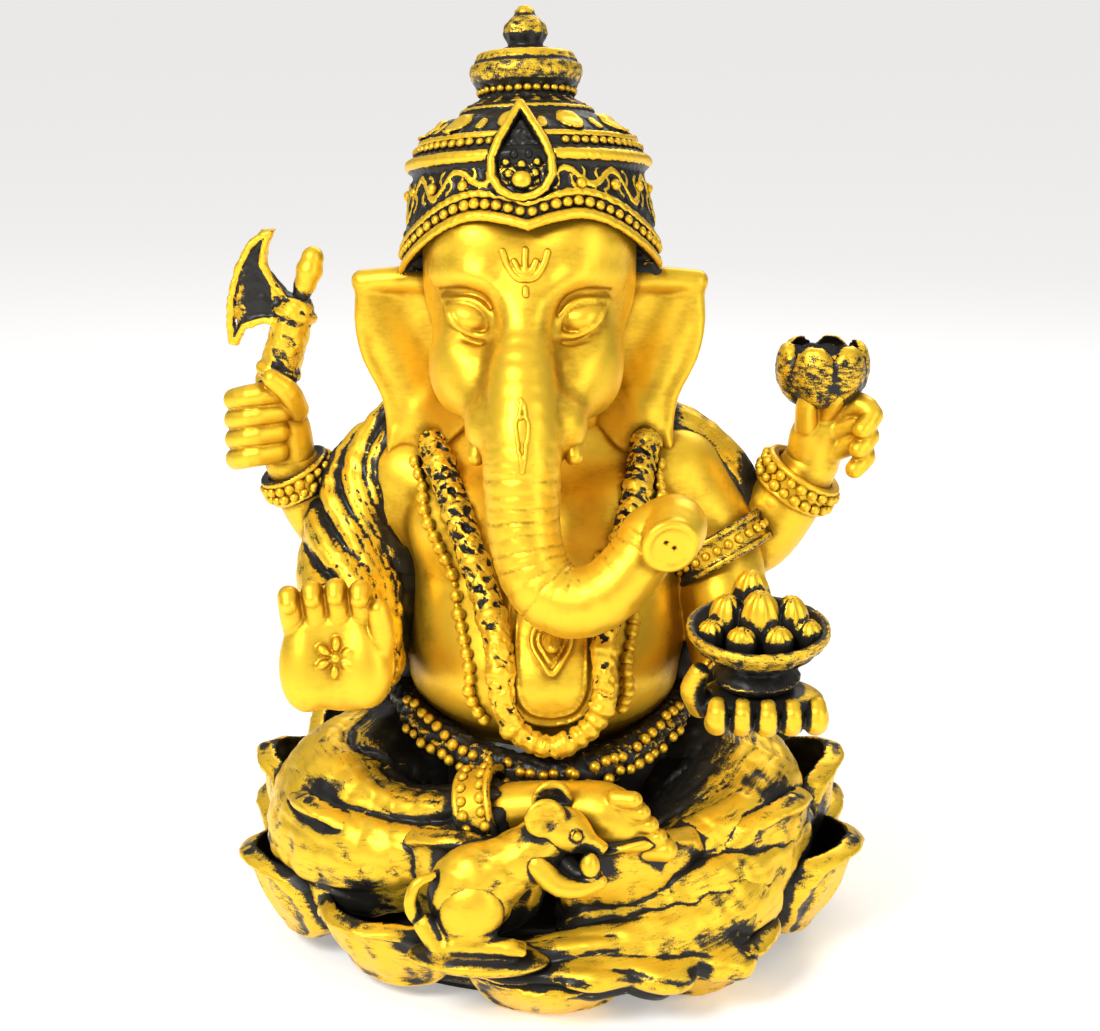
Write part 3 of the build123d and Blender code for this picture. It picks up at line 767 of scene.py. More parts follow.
def trunk(p):
    """The wrinkled trunk with its flat end and nostrils."""
    d, run = smooth_limb(p, TRUNK_PATH, TRUNK_R, 30, True)
    tip = smooth_limb(p, [(31, -65.5, 152.5), (36.5, -66, 156.5), (38, -71, 157), (36, -78, 154.5)],
                      [9.4, 9.4, 9.0, 8.2], 10)
    d = join(3, d, tip)
    q = into(p, (35.6, -79.6, 154.0), turn(12, 0, 10))
    rho = np.sqrt(q[:, 0] ** 2 + q[:, 2] ** 2)
    lip = np.sqrt((rho - 7.2) ** 2 + (q[:, 1] + 0.2) ** 2) - 1.5
    flat = np.where(rho < 14, -q[:, 1] - 1.0, -9)
    d = both(d, flat, 1.2)
    d = join(0.8, d, lip)
    nostril = np.minimum(limb(p, [(34.2, -82, 155.4), (34.4, -78, 155.2)], [0.55, 0.55]),
                         limb(p, [(36.8, -82, 153.4), (36.6, -78, 153.4)], [0.55, 0.55]))
    d = carve(d, nostril, 0.5)
    front = step(-p[:, 1], 40, 60)
    turns = run + 0.6 * rough(p, 17)
    creases = 0.30 * np.exp(-((np.sin(turns * math.pi / 4.5) / 0.26) ** 2)) + 0.05 * np.cos(run * 3.3)
    return d + creases * step(run, 45, 62) * front * step(q[:, 1], 2, 7) + 0.10 * rough(p, 8)


def cheek_bulb(p):
    """The swelling at each tusk's root, beside the trunk."""
    return np.minimum(egg(p, (-20.0, -48, 182.5), (5.2, 6.5, 8)), egg(p, (5.5, -48, 182.5), (5.4, 6.5, 8)))


def head_all(p):
    """Head, trunk and neck as one flowing form."""
    d = join(7, join(8, skull(p), trunk(p)), limb(p, [(-5, 9, 202), (-3, 10, 174)], [20, 22]))
    return join(5, d, cheek_bulb(p))


def tusk(s):
    """A short stub. s is -1 on the figure's right."""
    def f(p):
        return limb(p, [(-7.5 + s * 14.0, -49, 180), (-7.5 + s * 14.8, -52.5, 174.5)], [3.2, 2.9])
    return f


EAR = [(-30, 219), (-46, 221), (-60.5, 220), (-61.5, 207), (-60, 196), (-54, 184), (-50.5, 174),
       (-53, 163), (-45, 160),
       (-36, 164), (-26, 172), (-28, 190), (-29, 205)]


def ear(s):
    """A thin ear that cups forward, with a rolled top edge. s is -1 on the figure's right."""
    def f(p):
        x = np.where(s < 0, p[:, 0], -13.0 - p[:, 0])
        z = p[:, 2]
        flat = outline(x, z, EAR)
        u = (x + 46) / 16
        sheet_y = 0.5 + 1.6 * np.clip(u, -1.2, 1.4) ** 2 - 4.0 * step(196 - z, 0,
                                                                      30) + 1.5 * np.sin((x + z * 0.5) * 0.24)
        d = both(np.abs(p[:, 1] - sheet_y) * 0.85 - 1.9, flat, 2.2)
        q = np.stack([x, p[:, 1], z], 1)
        roll = limb(q, [(-29, -1.5, 219), (-45, 0, 220.5), (-60.5, 1.5, 219.5)], [4.3, 4.2, 3.5])
        rim = smooth_limb(q, [(-61, 1, 217), (-61.5, 0, 205), (-59, -0.5, 194), (-53, -2, 182),
                              (-51.5, -3, 168)], [1.7, 1.5, 1.5, 1.5, 1.4], 12)
        folds = 0.9 * stroke(q, [(-31, -4, 196), (-38, -4, 184), (-47, -4, 172), (-54, -4, 164)], 3.0)
        return join(2.0, join(2.5, d, rim), roll) - folds * step(1.5 - flat, -1, 2)
    return f


# ---- crown ----
CROWN_AT = (-6.5, 0, 240)
CROWN_M = turn(-12, -1.4, 0)
BAND = [(33, -19), (39.6, -19), (40.2, -10), (38.2, 2), (36.4, 13), (37.6, 15.2), (38.0, 17.4),
        (36.6, 19.2), (30, 19.2)]
DOME = [(0, 17), (36, 17), (35.6, 19.5), (33.6, 22.5), (31.2, 25.2), (28.4, 27.2), (26.6, 29.2), (22.0, 31.2),
        (19.0, 34.2), (14.8, 36.2), (14.0, 38.6), (0, 38.6)]
KNOB = [(0, 37.5), (13.4, 37.5), (14.0, 40), (16.4, 42.4), (17.6, 45.2), (17.4, 47.6), (15.8, 49.6),
        (12.4, 51.2), (8.4, 52.6), (5.4, 53.6), (0, 53.6)]
FINIAL = [(0, 52), (6.4, 52), (5.2, 54.2), (5.6, 55.6), (6.6, 58.0), (6.0, 60.8), (4.2, 62.8), (3.0, 63.8),
          (2.9, 65.2), (1.4, 66.6), (0, 66.6)]


def crown_local(p):
    """The crown's own frame: the points in it, their distance from its axis and their angle about it."""
    q = into(p, CROWN_AT, CROWN_M)
    return q, np.sqrt(q[:, 0] ** 2 + q[:, 1] ** 2), np.arctan2(q[:, 1], q[:, 0])


def brow_edge(q):
    """Height of the band's lower edge: two shallow arches over the forehead that meet in a point."""
    x = np.abs(q[:, 0])
    middle = -3.0 - 3.6 * np.clip((16 - x) / 16, 0, 1) ** 1.6
    side = -3.0 - 12.5 * (np.maximum(x - 16, 0) / 24) ** 1.8
    low = np.where(x < 16, middle, side)
    return np.where(q[:, 1] < 0, np.maximum(low, -19), -19 + 0 * low)


def behind_jewel(q):
    """Pushes the rings back where the jewel stands."""
    return 5 * step(-outline(q[:, 0], q[:, 2], DROP), -1.5, 0.5) * (q[:, 1] < 0)


def crown_band_base(p):
    q, rho, _ = crown_local(p)
    return both(outline(rho, q[:, 2], BAND) - 0.3, brow_edge(q) - q[:, 2], 1.5)


def crown_band(p):
    """Brow rings below, a thick rim above and vine scrolls between them."""
    q, rho, ang = crown_local(p)
    z = q[:, 2]
    edge = brow_edge(q)
    out = rho - np.interp(z, [-19, -10, 2, 13], [39.8, 40.4, 38.4, 36.6])
    low_ring = np.hypot(out - 0.3, z - edge - 1.5) - 1.7
    high_ring = np.hypot(out, z - edge - 8.2) - 1.4
    rim = np.hypot(rho - 37.4, z - 16.6) - 2.0 + behind_jewel(q)
    s = ang * 38
    room = 14.0 - edge - 9.0
    rise = 0.30 * room * np.sin(s * 0.36)
    vine = np.hypot(out, (z - edge - 9.2 - 0.5 * room - rise) * 0.8) - 1.15
    cell = ((s * 0.36 / math.pi + 0.5) % 1 - 0.5) * math.pi / 0.36
    over = np.where(np.sin(s * 0.36) > 0, -1, 1) * 0.12 * room
    curl = np.hypot(out, np.hypot(cell, z - edge - 9.2 - 0.5 * room - over) - 2.3) - 0.8
    scroll = np.minimum(vine, curl) + 4 * (1 - step(z - edge, 8.5, 10) * step(15.5 - z, 0, 1))
    d = join(0.7, crown_band_base(p), low_ring, high_ring, rim, scroll)
    rope = 0.2 * np.cos(s * 1.9 + z) * np.exp(-(((z - edge - 8.2) / 1.5) ** 2))
    return d + rope + 0.15 * rough(p, 2.8)


BOSSES = 10


def crown_dome_base(p):
    q, rho, _ = crown_local(p)
    return outline(rho, q[:, 2], DOME) - 0.4


def crown_dome(p):
    """Broad oval bosses round the dome between two thin rings."""
    q, rho, ang = crown_local(p)
    z = q[:, 2]
    clear = behind_jewel(q)
    d = join(0.6, crown_dome_base(p), np.hypot(rho - 34.0, z - 23.2) - 1.1 + clear,
             np.hypot(rho - 20.5, z - 33.0) - 1.0 + clear)
    turns = ((ang * BOSSES / (2 * math.pi) + 0.25) % 1 - 0.5) * 19
    boss = 1 - np.hypot(turns / 5.0, (z - 28.0) / 3.8)
    small = 1 - np.hypot((np.abs(turns) - 9.4) / 2.1, (z - 27.0) / 2.8)
    ribs = 0.8 * (np.abs(np.cos(ang * 9)) - 0.3) * step(z, 34.2, 35) * step(38.5, z, z + 1.5)
    return d - 1.5 * step(boss, 0, 0.3) - 1.0 * step(small, 0, 0.5) - ribs + 0.16 * rough(p, 2.8, 1.0)


def raised(base, dark=0.55):
    """Tone of a relief: the ground stays dark and what stands above it takes the gold."""
    return lambda p: dark - (dark + 0.35) * step(evaluate(base, p), 0.15, 0.8)


def crown_knob(p):
    """A bulging disc with a thin ring on top and leaves below."""
    q, rho, ang = crown_local(p)
    d = join(0.8, outline(rho, q[:, 2], KNOB) - 0.4, np.hypot(rho - 14.4, q[:, 2] - 50.6) - 1.2)
    ribs = 0.9 * (np.abs(np.cos(ang * 7)) - 0.4) * step(42 - q[:, 2], 0, 1.5)
    groove = 0.5 * np.exp(-(((q[:, 2] - 48.6) / 0.7) ** 2))
    return d - ribs + groove + 0.12 * rough(p, 3.4, 2.0)


def crown_finial(p):
    """The fluted bud on top."""
    q, rho, ang = crown_local(p)
    d = outline(rho, q[:, 2], FINIAL) - 0.3
    return d - 0.3 * np.cos(ang * 8) * step(q[:, 2], 55, 57) * step(62.5 - q[:, 2], 0, 2) + 0.08 * rough(p, 3)


DROP_SHAPE = [(0, 38), (3.4, 32), (7.2, 25), (9.6, 18.5), (9.8, 12.5), (7.2, 7.6), (3.6, 5.2), (0, 4.4),
              (-3.6, 5.2), (-7.2, 7.6),
              (-9.8, 12.5), (-9.6, 18.5), (-7.2, 25), (-3.4, 32)]
DROP = [(0.94 * x - 1.6, 0.87 * (z - 4.4) + 3.2) for x, z in DROP_SHAPE]


def jewel_front(q):
    """Depth in front of the crown's own front, where the jewel stands."""
    return -q[:, 1] - np.interp(q[:, 2], [4, 14, 19, 25, 30, 38], [38.0, 37.0, 36.5, 34.5, 32.0, 29.0])


def jewel_frame(p):
    """The drop's raised rim on a backing plate."""
    q = crown_local(p)[0]
    flat = outline(q[:, 0], q[:, 2], DROP)
    out = jewel_front(q)
    ring = np.sqrt(flat ** 2 + (out - 1.8) ** 2) - 1.35
    back = both(np.abs(out + 2.5) - 4.0, flat, 1.0)
    hollow = both(flat + 1.6, np.abs(out - 3) - 4.6, 0.8)
    return join(0.6, ring, carve(back, hollow, 0.8)) + 0.10 * rough(p, 3)


def jewel(p):
    """The drop's sunk, grainy ground, with a cluster of balls at its foot."""
    q = crown_local(p)[0]
    flat = outline(q[:, 0], q[:, 2], DROP)
    out = jewel_front(q)
    d = both(flat + 2.0, np.abs(out + 1.5) - 1.2, 0.6)
    grains = 0.7 * np.maximum(rough(p, 2.2, 4.0), 0)
    boss = egg(q, (-1.6, -38.2, 8.5), (3.4, 2.6, 3.2))
    for x, z in ((-5.6, 10.6), (2.4, 10.6), (-1.6, 13.4), (-6.4, 14.4), (3.2, 14.4),
                 (-3.8, 16.6), (0.6, 16.6)):
        boss = join(0.6, boss, egg(q, (x, -37.2, z), (1.5, 2.0, 1.7)))
    return join(0.4, d - grains, boss)


# ---- arms and hands ----
def torso_and_arms(p):
    """The torso flows into both front arms."""
    return join(7, torso(p), front_right_arm(p), front_left_arm(p))


def rear_right_arm(p):
    return smooth_limb(p, [(-42, 20, 144), (-55, 19, 132), (-68, 15, 131), (-78, 11, 142), (-86, 8.5, 158)],
                       [14, 13, 12, 11, 8.6])


def rear_left_arm(p):
    return smooth_limb(p, [(40, 20, 144), (54, 19, 131), (67, 15, 130), (78, 10.5, 143), (87, 8, 158)],
                       [14, 13.5, 13.5, 12, 9])


def fingers(p, d, rows, k):
    """A hand d with a finger for each row of points and radii."""
    for pts, radii in rows:
        d = join(k, d, smooth_limb(p, pts, radii, 8))
    return d


def rear_right_hand(p):
    """The fist round the axe's shaft."""
    d = egg(p, (-89, 7, 171), (9, 7.5, 15), turn(0, -20, 0))
    d = join(3, d, limb(p, [(-86, 8, 160), (-88, 7.5, 168)], [8, 8]))
    rows = []
    for i in range(4):
        z = 183.5 - 6.6 * i
        line = [(-88 - 0.5 * i, -1.5, z), (-96 - 0.3 * i, -5, z - 0.5), (-102.5, -1.5, z - 2.5),
                (-101.5, 5, z - 3.5)]
        rows.append((line, [4.0, 3.9, 3.7, 3.3]))
    rows.append(([(-83, 2, 177), (-84.5, -4.5, 184), (-89.5, -7, 189)], [4.2, 3.8, 3.2]))
    return fingers(p, d, rows, 0.9)


def rear_left_hand(p):
    """The hand that holds the lotus between thumb and finger."""
    d = egg(p, (89, 6, 167), (9.5, 7, 14), turn(0, 18, 0))
    d = join(3, d, limb(p, [(87, 8, 158), (88, 7, 165)], [8.6, 8]))
    rows = [([(84, 2, 172), (83.5, -3, 180), (85.5, -5, 187)], [3.9, 3.5, 3.0])]
    for i in range(3):
        line = [(93 + i * 0.4, 3, 176 - 6.4 * i), (100, -1, 179.5 - 6.6 * i),
                (104.5 - i, -5, 176.5 - 6.8 * i), (101 - i, -8, 172.5 - 6.6 * i)]
        rows.append((line, [4.0, 3.9, 3.6, 3.1]))
    rows.append(([(90, 2, 176), (92.5, -4, 182), (94.5, -6, 188)], [3.7, 3.4, 2.9]))
    return fingers(p, d, rows, 0.9)


def front_right_arm(p):
    return smooth_limb(p, [(-44, 8, 154), (-58, 4, 134), (-64, -8, 112), (-62, -30, 104), (-63, -52, 107)],
                       [15, 15, 14, 12, 10.5])


def front_left_arm(p):
    return smooth_limb(p, [(42, 8, 154), (54, 4, 134), (59, -8, 111), (58, -28, 100), (61, -52, 99)],
                       [15, 14.5, 13.5, 12, 10])


def front_right_hand(p):
    """The open hand, raised in blessing, with a flower in relief on its palm."""
    q = into(p, (-66, -64, 117), turn(-10, -4, 0))
    d = brick(q, (0, 0, -2), (14.2, 7.5, 16), None, 7.0)
    d = join(5, d, egg(q, (10, -4, -6), (7.5, 6, 12)), egg(q, (-10, -3, -6), (7, 5.5, 12)))
    d = join(4, d, limb(q, [(2, 4, -10), (4, 12, -12)], [10, 10]))
    rows = []
    for i in range(4):
        x = -11.4 + 7.1 * i
        top = 20.4 - abs(i - 1.6) * 1.3
        line = [(x, -2.5, 8), (x * 1.02, -6.0, top - 6), (x * 1.02, -9.5, top), (x, -12.0, top - 2.5)]
        rows.append((line, [3.9, 3.7, 3.4, 2.9]))
    rows.append(([(12.5, -2, -6), (15.2, -5, 4), (15.0, -8, 12)], [4.6, 4.1, 3.3]))
    d = fingers(q, d, rows, 0.8)
    petals = np.full(len(q), 9.0, np.float32)
    for i in range(6):
        a = i * math.pi / 3 + 0.4
        at = (1.0 + 4.2 * math.cos(a), -8.2, -2 + 4.2 * math.sin(a))
        petals = np.minimum(petals, egg(q, at, (2.4, 1.6, 1.4), turn(0, -math.degrees(a), 0)))
    return join(0.5, d, petals, ball(q, (1.0, -8.0, -2), 1.8))


def front_left_hand(p):
    """The hand under the bowl, its fingertips turned up in front."""
    d = egg(p, (64, -68, 101.5), (20, 15, 6.2))
    d = join(5, d, limb(p, [(61, -54, 99), (63, -62, 100)], [9.5, 8]))
    rows = []
    for i in range(5):
        x = 50 + 7.4 * i
        out = abs(i - 2)
        line = [(x + 1, -78 + 0.5 * out, 99), (x, -86 + 0.9 * out, 100), (x, -89.5 + 0.9 * out, 103),
                (x, -88 + out, 106)]
        rows.append((line, [4.0, 3.8, 3.5, 2.9]))
    rows.append(([(46, -70, 101), (43.5, -74, 107), (45, -76, 113)], [4.4, 4.0, 3.2]))
    return fingers(p, d, rows, 0.9)


# ---- what the hands hold ----
BLADE = [(-88, 236), (-92.5, 235.5), (-97.5, 231), (-101.5, 224), (-104.3, 214), (-105, 204), (-104.6, 198.5),
         (-101.5, 198),
         (-98.5, 203.5), (-93, 205.5), (-86, 206), (-84, 214), (-88, 219), (-91.5, 225), (-90.5, 231)]


def axe_head(p):
    """A thin blade, sunk inside its rim, on a collar with two rings."""
    flat = outline(p[:, 0], p[:, 2], BLADE)
    thick = 3.0 - 1.9 * step(-p[:, 0], 92, 105)
    d = both(np.abs(p[:, 1] - 3) - thick, flat, 0.9)
    d = d + step(-flat, 1.4, 3.0)
    collar = limb(p, [(-89.5, 3, 186), (-82.5, 3, 209)], [6.6, 6.2])
    collar = np.minimum(collar, hoop(p, (-88.5, 3, 189.5), (0.29, 0, 0.957), 5.6, 2.0))
    collar = np.minimum(collar, hoop(p, (-82.6, 3, 208.5), (0.29, 0, 0.957), 5.4, 1.8))
    return join(1.5, d, collar) + 0.35 * rough(p, 6) + 0.15 * rough(p, 2.6)


def blade_tone(p):
    """The gold lies on the blade's rim."""
    flat = outline(p[:, 0], p[:, 2], BLADE)
    return np.where(p[:, 0] < -90, 0.30 - 0.75 * step(flat, -2.6, -1.2), -0.1)


def axe_shaft(p):
    d, run = limb(p, [(-96, 3, 164), (-76.5, 3, 227)], [3.3, 3.1], True)
    tip = egg(p, (-77.5, 3, 222.5), (4.2, 4.2, 7.5), turn(0, 17, 0))
    return join(1.5, d, tip) + 0.21 * np.sin(run * 1.1)


def lotus_cup(p):
    q = into(p, (89, 4, 178))
    rho = np.sqrt(q[:, 0] ** 2 + q[:, 1] ** 2)
    d = outline(rho, q[:, 2], [(0, 0), (4, 0), (7.5, 3), (11, 9), (12.5, 15), (11, 18), (8, 15),
                               (0, 12)]) - 0.5
    return d + 0.3 * np.cos(np.arctan2(q[:, 1], q[:, 0]) * 12)


def lotus_petals(p):
    out = np.full(len(p), 1e3, np.float32)
    for i in range(6):
        a = 60 * i + 10
        q = into(p, (89, 4, 190), turn(0, 0, a) @ turn(0, 16, 0))
        shell = np.abs(egg(q, (2.5, 0, 1), (12.0, 9.5, 13.0))) - 0.95
        width = 8.0 * np.sqrt(np.clip(1 - ((q[:, 2] + 1) / 13.2) ** 2, 0, 1))
        keep = np.maximum(np.abs(q[:, 1]) - width, -(q[:, 0] - 4))
        keep = np.maximum(keep, q[:, 2] - 12)
        out = np.minimum(out, both(shell, keep, 0.8))
    return out + 0.2 * rough(p, 4)


BOWL_AT = (63, -69, 109)
BOWL_M = turn(8, 0, 0)
BOWL = [(0, 0), (12.5, 0), (13.2, 1.4), (11, 3.6), (9.3, 5.2), (10, 6.8), (14, 8.6), (18.5, 12), (21.6, 16),
        (21.4, 17.6), (19.8, 17.6), (16.0, 13.6), (11, 11.4), (0, 10.6)]


def bowl(p):
    q = into(p, BOWL_AT, BOWL_M)
    rho = np.sqrt(q[:, 0] ** 2 + q[:, 1] ** 2)
    d = outline(rho, q[:, 2], BOWL) - 0.3
    flute = 0.4 * np.cos(np.arctan2(q[:, 1], q[:, 0]) * 16) * step(q[:, 2], 7, 9) * step(15 - q[:, 2], 0, 2)
    return d - flute + 0.12 * rough(p, 4)


# place, radius and half height
SWEETS = [(0, -3, 20, 6.2, 10.5), (-9.5, 1, 18, 5.6, 9.5), (9.5, 0, 18, 5.6, 9.5), (-2, 7, 21, 6.2, 12),
          (14.5, -4, 16, 4.4, 5.5),
          (-14.5, -4, 16, 4.2, 5.5), (5, -10, 16.5, 4.6, 5.5), (-6, -10.5, 16.5, 4.6, 5.5)]


def sweets(p):
    q = into(p, BOWL_AT, BOWL_M)
    out = np.full(len(p), 1e3, np.float32)
    for x, y, z, r, h in SWEETS:
        c = into(q, (x, y, z))
        ang = np.arctan2(c[:, 1], c[:, 0])
        d = egg(c, (0, 0, 0), (r, r, h)) - 0.28 * np.cos(ang * 9) * step(c[:, 2], -h * 0.4, h * 0.5)
        out = join(0.5, out, d)
    return out


# ---- cloth and jewellery on the body ----
def panel(p):
    body = torso(p)
    shape = [(-14, 130), (-15.5, 116), (-15.5, 104), (-14, 95), (-9, 88), (0.5, 85.5), (10, 88), (15, 95),
             (16.5, 104), (16.5, 116), (15, 130)]
    flat = outline(p[:, 0], p[:, 2], curve(shape, 32).tolist())
    front = p[:, 1] + 8
    d = both(body - 2.0, flat, 1.2)
    rim = np.sqrt((flat + 1.6) ** 2 + (body - 2.3) ** 2) - 1.1
    inner = np.sqrt((flat + 5.0) ** 2 + (body - 2.1) ** 2) - 0.5
    return np.maximum(join(0.7, d, rim, inner), front) + 0.05 * rough(p, 4)


def pendant(p):
    body = torso(p)
    shape = [(0.5, 122.5), (3.5, 121.5), (7.0, 117.5), (7.4, 113.5), (5.0, 109.5), (0.5, 104.5),
             (-4.0, 109.5), (-6.4, 113.5), (-6.0, 117.5), (-2.5, 121.5)]
    flat = outline(p[:, 0], p[:, 2], curve([*shape, shape[0]], 30)[:-1].tolist())
    d = both(body - 3.0, flat, 1.0)
    rim = np.sqrt((flat + 0.9) ** 2 + (body - 3.4) ** 2) - 1.0
    gem = join(0.4, egg(p, (0.5, -52.5, 114.8), (2.6, 7, 2.6)),
               np.sqrt((flat + 3.0) ** 2 + (body - 3.2) ** 2) - 0.6)
    return np.maximum(join(0.5, d, rim, gem), p[:, 1] + 8)


GARLAND = [(-38, -9, 168), (-33, -21, 158), (-27, -33, 144), (-21, -42, 129), (-16, -52, 113), (-15, -55, 98),
           (-11, -55, 87), (0, -55, 81), (11, -55, 86), (17, -55, 97), (17, -53, 112), (20, -43, 128),
           (24, -33, 143), (28, -21, 157), (31, -9, 168)]


def garland(p):
    """A thick lace rope above, a smoother and thinner one round the bottom."""
    radii = [4.8, 4.8, 4.8, 4.8, 4.6, 4.2, 3.8, 3.7, 3.7, 3.8, 4.0, 4.4, 4.8, 4.8, 4.8]
    d, run = smooth_limb(p, GARLAND, radii, 44, True)
    middle = np.exp(-((run - 126) / 34) ** 2)
    lace = np.maximum(rough(p, 4.6, 5.0), 0) * 2.0 + rough(p, 2.4, 2.0) * 0.35
    collar = np.exp(-(((run * 0.055) % 1 - 0.5) / 0.10) ** 2)
    return d + lace * (1 - 0.75 * middle) * (1 - collar) - 0.7 * collar + 0.35 * middle * np.cos(run * 1.6)


BELT = [(-50, -8, 86), (-40, -29, 79), (-22, -43, 72), (-1, -49, 69), (20, -43, 72),
        (36, -29, 78), (46, -8, 85)]


def belt(p):
    d = smooth_limb(p, BELT, [5.2, 5.6, 6.0, 6.2, 6.0, 5.6, 5.2], 24)
    return d + 0.7 * rough(p, 4.2, 3.0) + 0.3 * rough(p, 2.2, 1.0)


SHAWL_PATH = curve([(-46, 12, 168), (-57, 9, 153), (-63.5, 3, 135), (-65, -8, 117), (-61, -24, 106),
                    (-60, -38, 103)], 14)


def shawl_right(p):
    d = smooth_limb(p, SHAWL_PATH[::2], [13, 15.5, 18, 18.5, 18.5, 17, 14.5], 14)
    d = swept(p, join(6, d, egg(p, (-51, -1, 116), (9, 14, 26))), SHAWL_PATH, 4.0, 7, 1.2, -0.065)
    bare = egg(p, (-34, -24, 157), (23, 24, 30), turn(0, 22, 0))
    hole = limb(p, [(-61, -30, 104), (-62, -60, 107)], [11.5, 13.5])
    return carve(carve(d, bare, 3.0), hole, 2.0) + 0.25 * rough(p, 8)


def shawl_left(p):
    path = np.array([(30, 10, 172), (44, 14, 164), (56, 15, 150), (63, 15, 134), (62, 12, 116)], float)
    d = join(6, smooth_limb(p, path, [8, 11, 12.5, 11, 7], 14), egg(p, (49, 12, 112), (10, 14, 30)))
    return swept(p, d, path, 2.6, 9, 0.4) + 0.2 * rough(p, 7)


# centre, axis, radius, width and look; then the radius, offsets, gap and size of the bead rows
BANDS = {
    "rear_right_bracelet": ((-83.5, 9.3, 152.5), (-0.42, -0.16, 0.89), 10.2, 9, RELIEF, 11.9,
                            (1.6, -1.8), 3.7, 1.75),
    "rear_left_bracelet": ((82.5, 9.5, 151), (0.5, -0.15, 0.85), 11.6, 10, SKIN, 13.3,
                           (2.1, -2.1), 4.0, 1.95),
    "front_right_bracelet": ((-62.5, -47, 106.5), (0, -1, 0.15), 12.0, 8, SKIN, 13.6, (0,), 3.6, 1.7),
    "front_left_bracelet": ((60.5, -48, 99.2), (0.1, -1, 0), 11.6, 8, RELIEF, 13.2, (0,), 3.6, 1.7),
    "armlet": ((56, 1, 130), (-0.5, 0.25, 0.85), 16.2, 10, DARK, 17.6, (0,), 4.2, 1.6),
    "anklet": ((-19.5, -60.5, 62), (0.92, -0.25, 0.3), 12.4, 12, RELIEF, 13.6, (-3.2, 3.2), 4.4, 1.9),
}


def bangle(c, along, r, width):
    """A plain band with a raised rim at each edge."""
    def f(p):
        h, rho = about(p, c, along)
        band = np.maximum(np.abs(rho - r) - 1.2, np.abs(h) - width / 2)
        for e in (-1, 1):
            band = join(0.5, band, np.sqrt((rho - r - 0.9) ** 2 + (h - e * (width / 2 - 0.8)) ** 2) - 1.15)
        return band
    return f


# ---- mouse ----
def mouse_body(p):
    d = join(6, egg(p, (-24, -84, 45), (13.5, 11, 15.5), turn(0, 14, 0)),
             egg(p, (-9, -82, 55), (13, 9, 9.5), turn(0, -26, 0)))
    d = join(3, d, limb(p, [(-4, -82, 60), (2, -82, 63)], [7.2, 6.2]))
    return d + 0.25 * rough(p, 7)


def mouse_head(p):
    d = join(2.5, egg(p, (4, -82.5, 65), (9, 7, 7.2), turn(0, 20, 0)),
             limb(p, [(9, -83.5, 62.5), (14.5, -84.5, 60)], [4.0, 2.7]))
    d = join(0.6, d, ball(p, (16.4, -84.6, 60.2), 1.3), ball(p, (8.2, -89.2, 65.4), 1.5))
    for x, y, z in ((-1.5, -87.5, 70.5), (0.5, -77.5, 72.5)):
        m = turn(0, 8, 12)
        disc = egg(p, (x, y, z), (6.4, 2.0, 6.4), m)
        disc = carve(disc, egg(p, (x, y - 2.2, z), (4.6, 1.8, 4.6), m), 0.8)
        d = join(0.9, d, disc)
    return d


def mouse_forelegs(p):
    d = smooth_limb(p, [(-4, -88, 56), (2, -91, 50.5), (9, -91.5, 49.5), (15, -90, 51)],
                    [4.0, 3.4, 2.8, 2.4], 8)
    d = join(1.2, d, smooth_limb(p, [(2, -80, 56), (8, -84, 51), (14, -86, 51)], [3.4, 2.8, 2.3], 6))
    return join(0.8, d, egg(p, (12, -89.5, 55.5), (3.1, 3.1, 4.8)))


def mouse_hind(p):
    d = egg(p, (-24, -91, 41), (9.8, 5.8, 11.5), turn(0, 18, 0))
    d = join(2, d, limb(p, [(-29, -93, 31.5), (-12, -94, 31)], [3.6, 3.0]))
    for i in range(3):
        d = join(0.6, d, limb(p, [(-13, -95.5 + 2.2 * i, 31), (-8.5, -96 + 2.4 * i, 30.5)], [1.7, 1.4]))
    d = join(2, d, limb(p, [(-38, -90, 37), (-33, -93, 29)], [3.6, 3.4]))
    return join(2.5, d, egg(p, (-22, -88, 25), (22, 11, 4.2), turn(0, 3, 0)))


def mouse_tail(p):
    return smooth_limb(p, [(-33, -85, 35), (-39, -88, 37), (-42.5, -90, 43), (-40.5, -89.5, 50),
                           (-35, -88, 52)], [2.6, 2.4, 2.0, 1.7, 1.3], 14)


# ---- lotus seat ----
def seat(p):
    q = p.copy()
    rho = np.sqrt((q[:, 0] / 82) ** 2 + (q[:, 1] / 70) ** 2)
    side = (rho - np.interp(q[:, 2], [1.5, 12, 24, 30], [0.94, 1.0, 0.95, 0.8])) * 70
    d = both(side, np.abs(q[:, 2] - 16) - 14.5, 3.0)
    hole = np.maximum(np.sqrt(q[:, 0] ** 2 + q[:, 1] ** 2) - 12.1, q[:, 2] - 15.5)
    return np.maximum(carve(d, hole, 0.3), 1.5 - q[:, 2])


PETAL_R, PETAL_FOOT = 34, -17       # radius of the ball that a petal is a piece of, and its foot's height


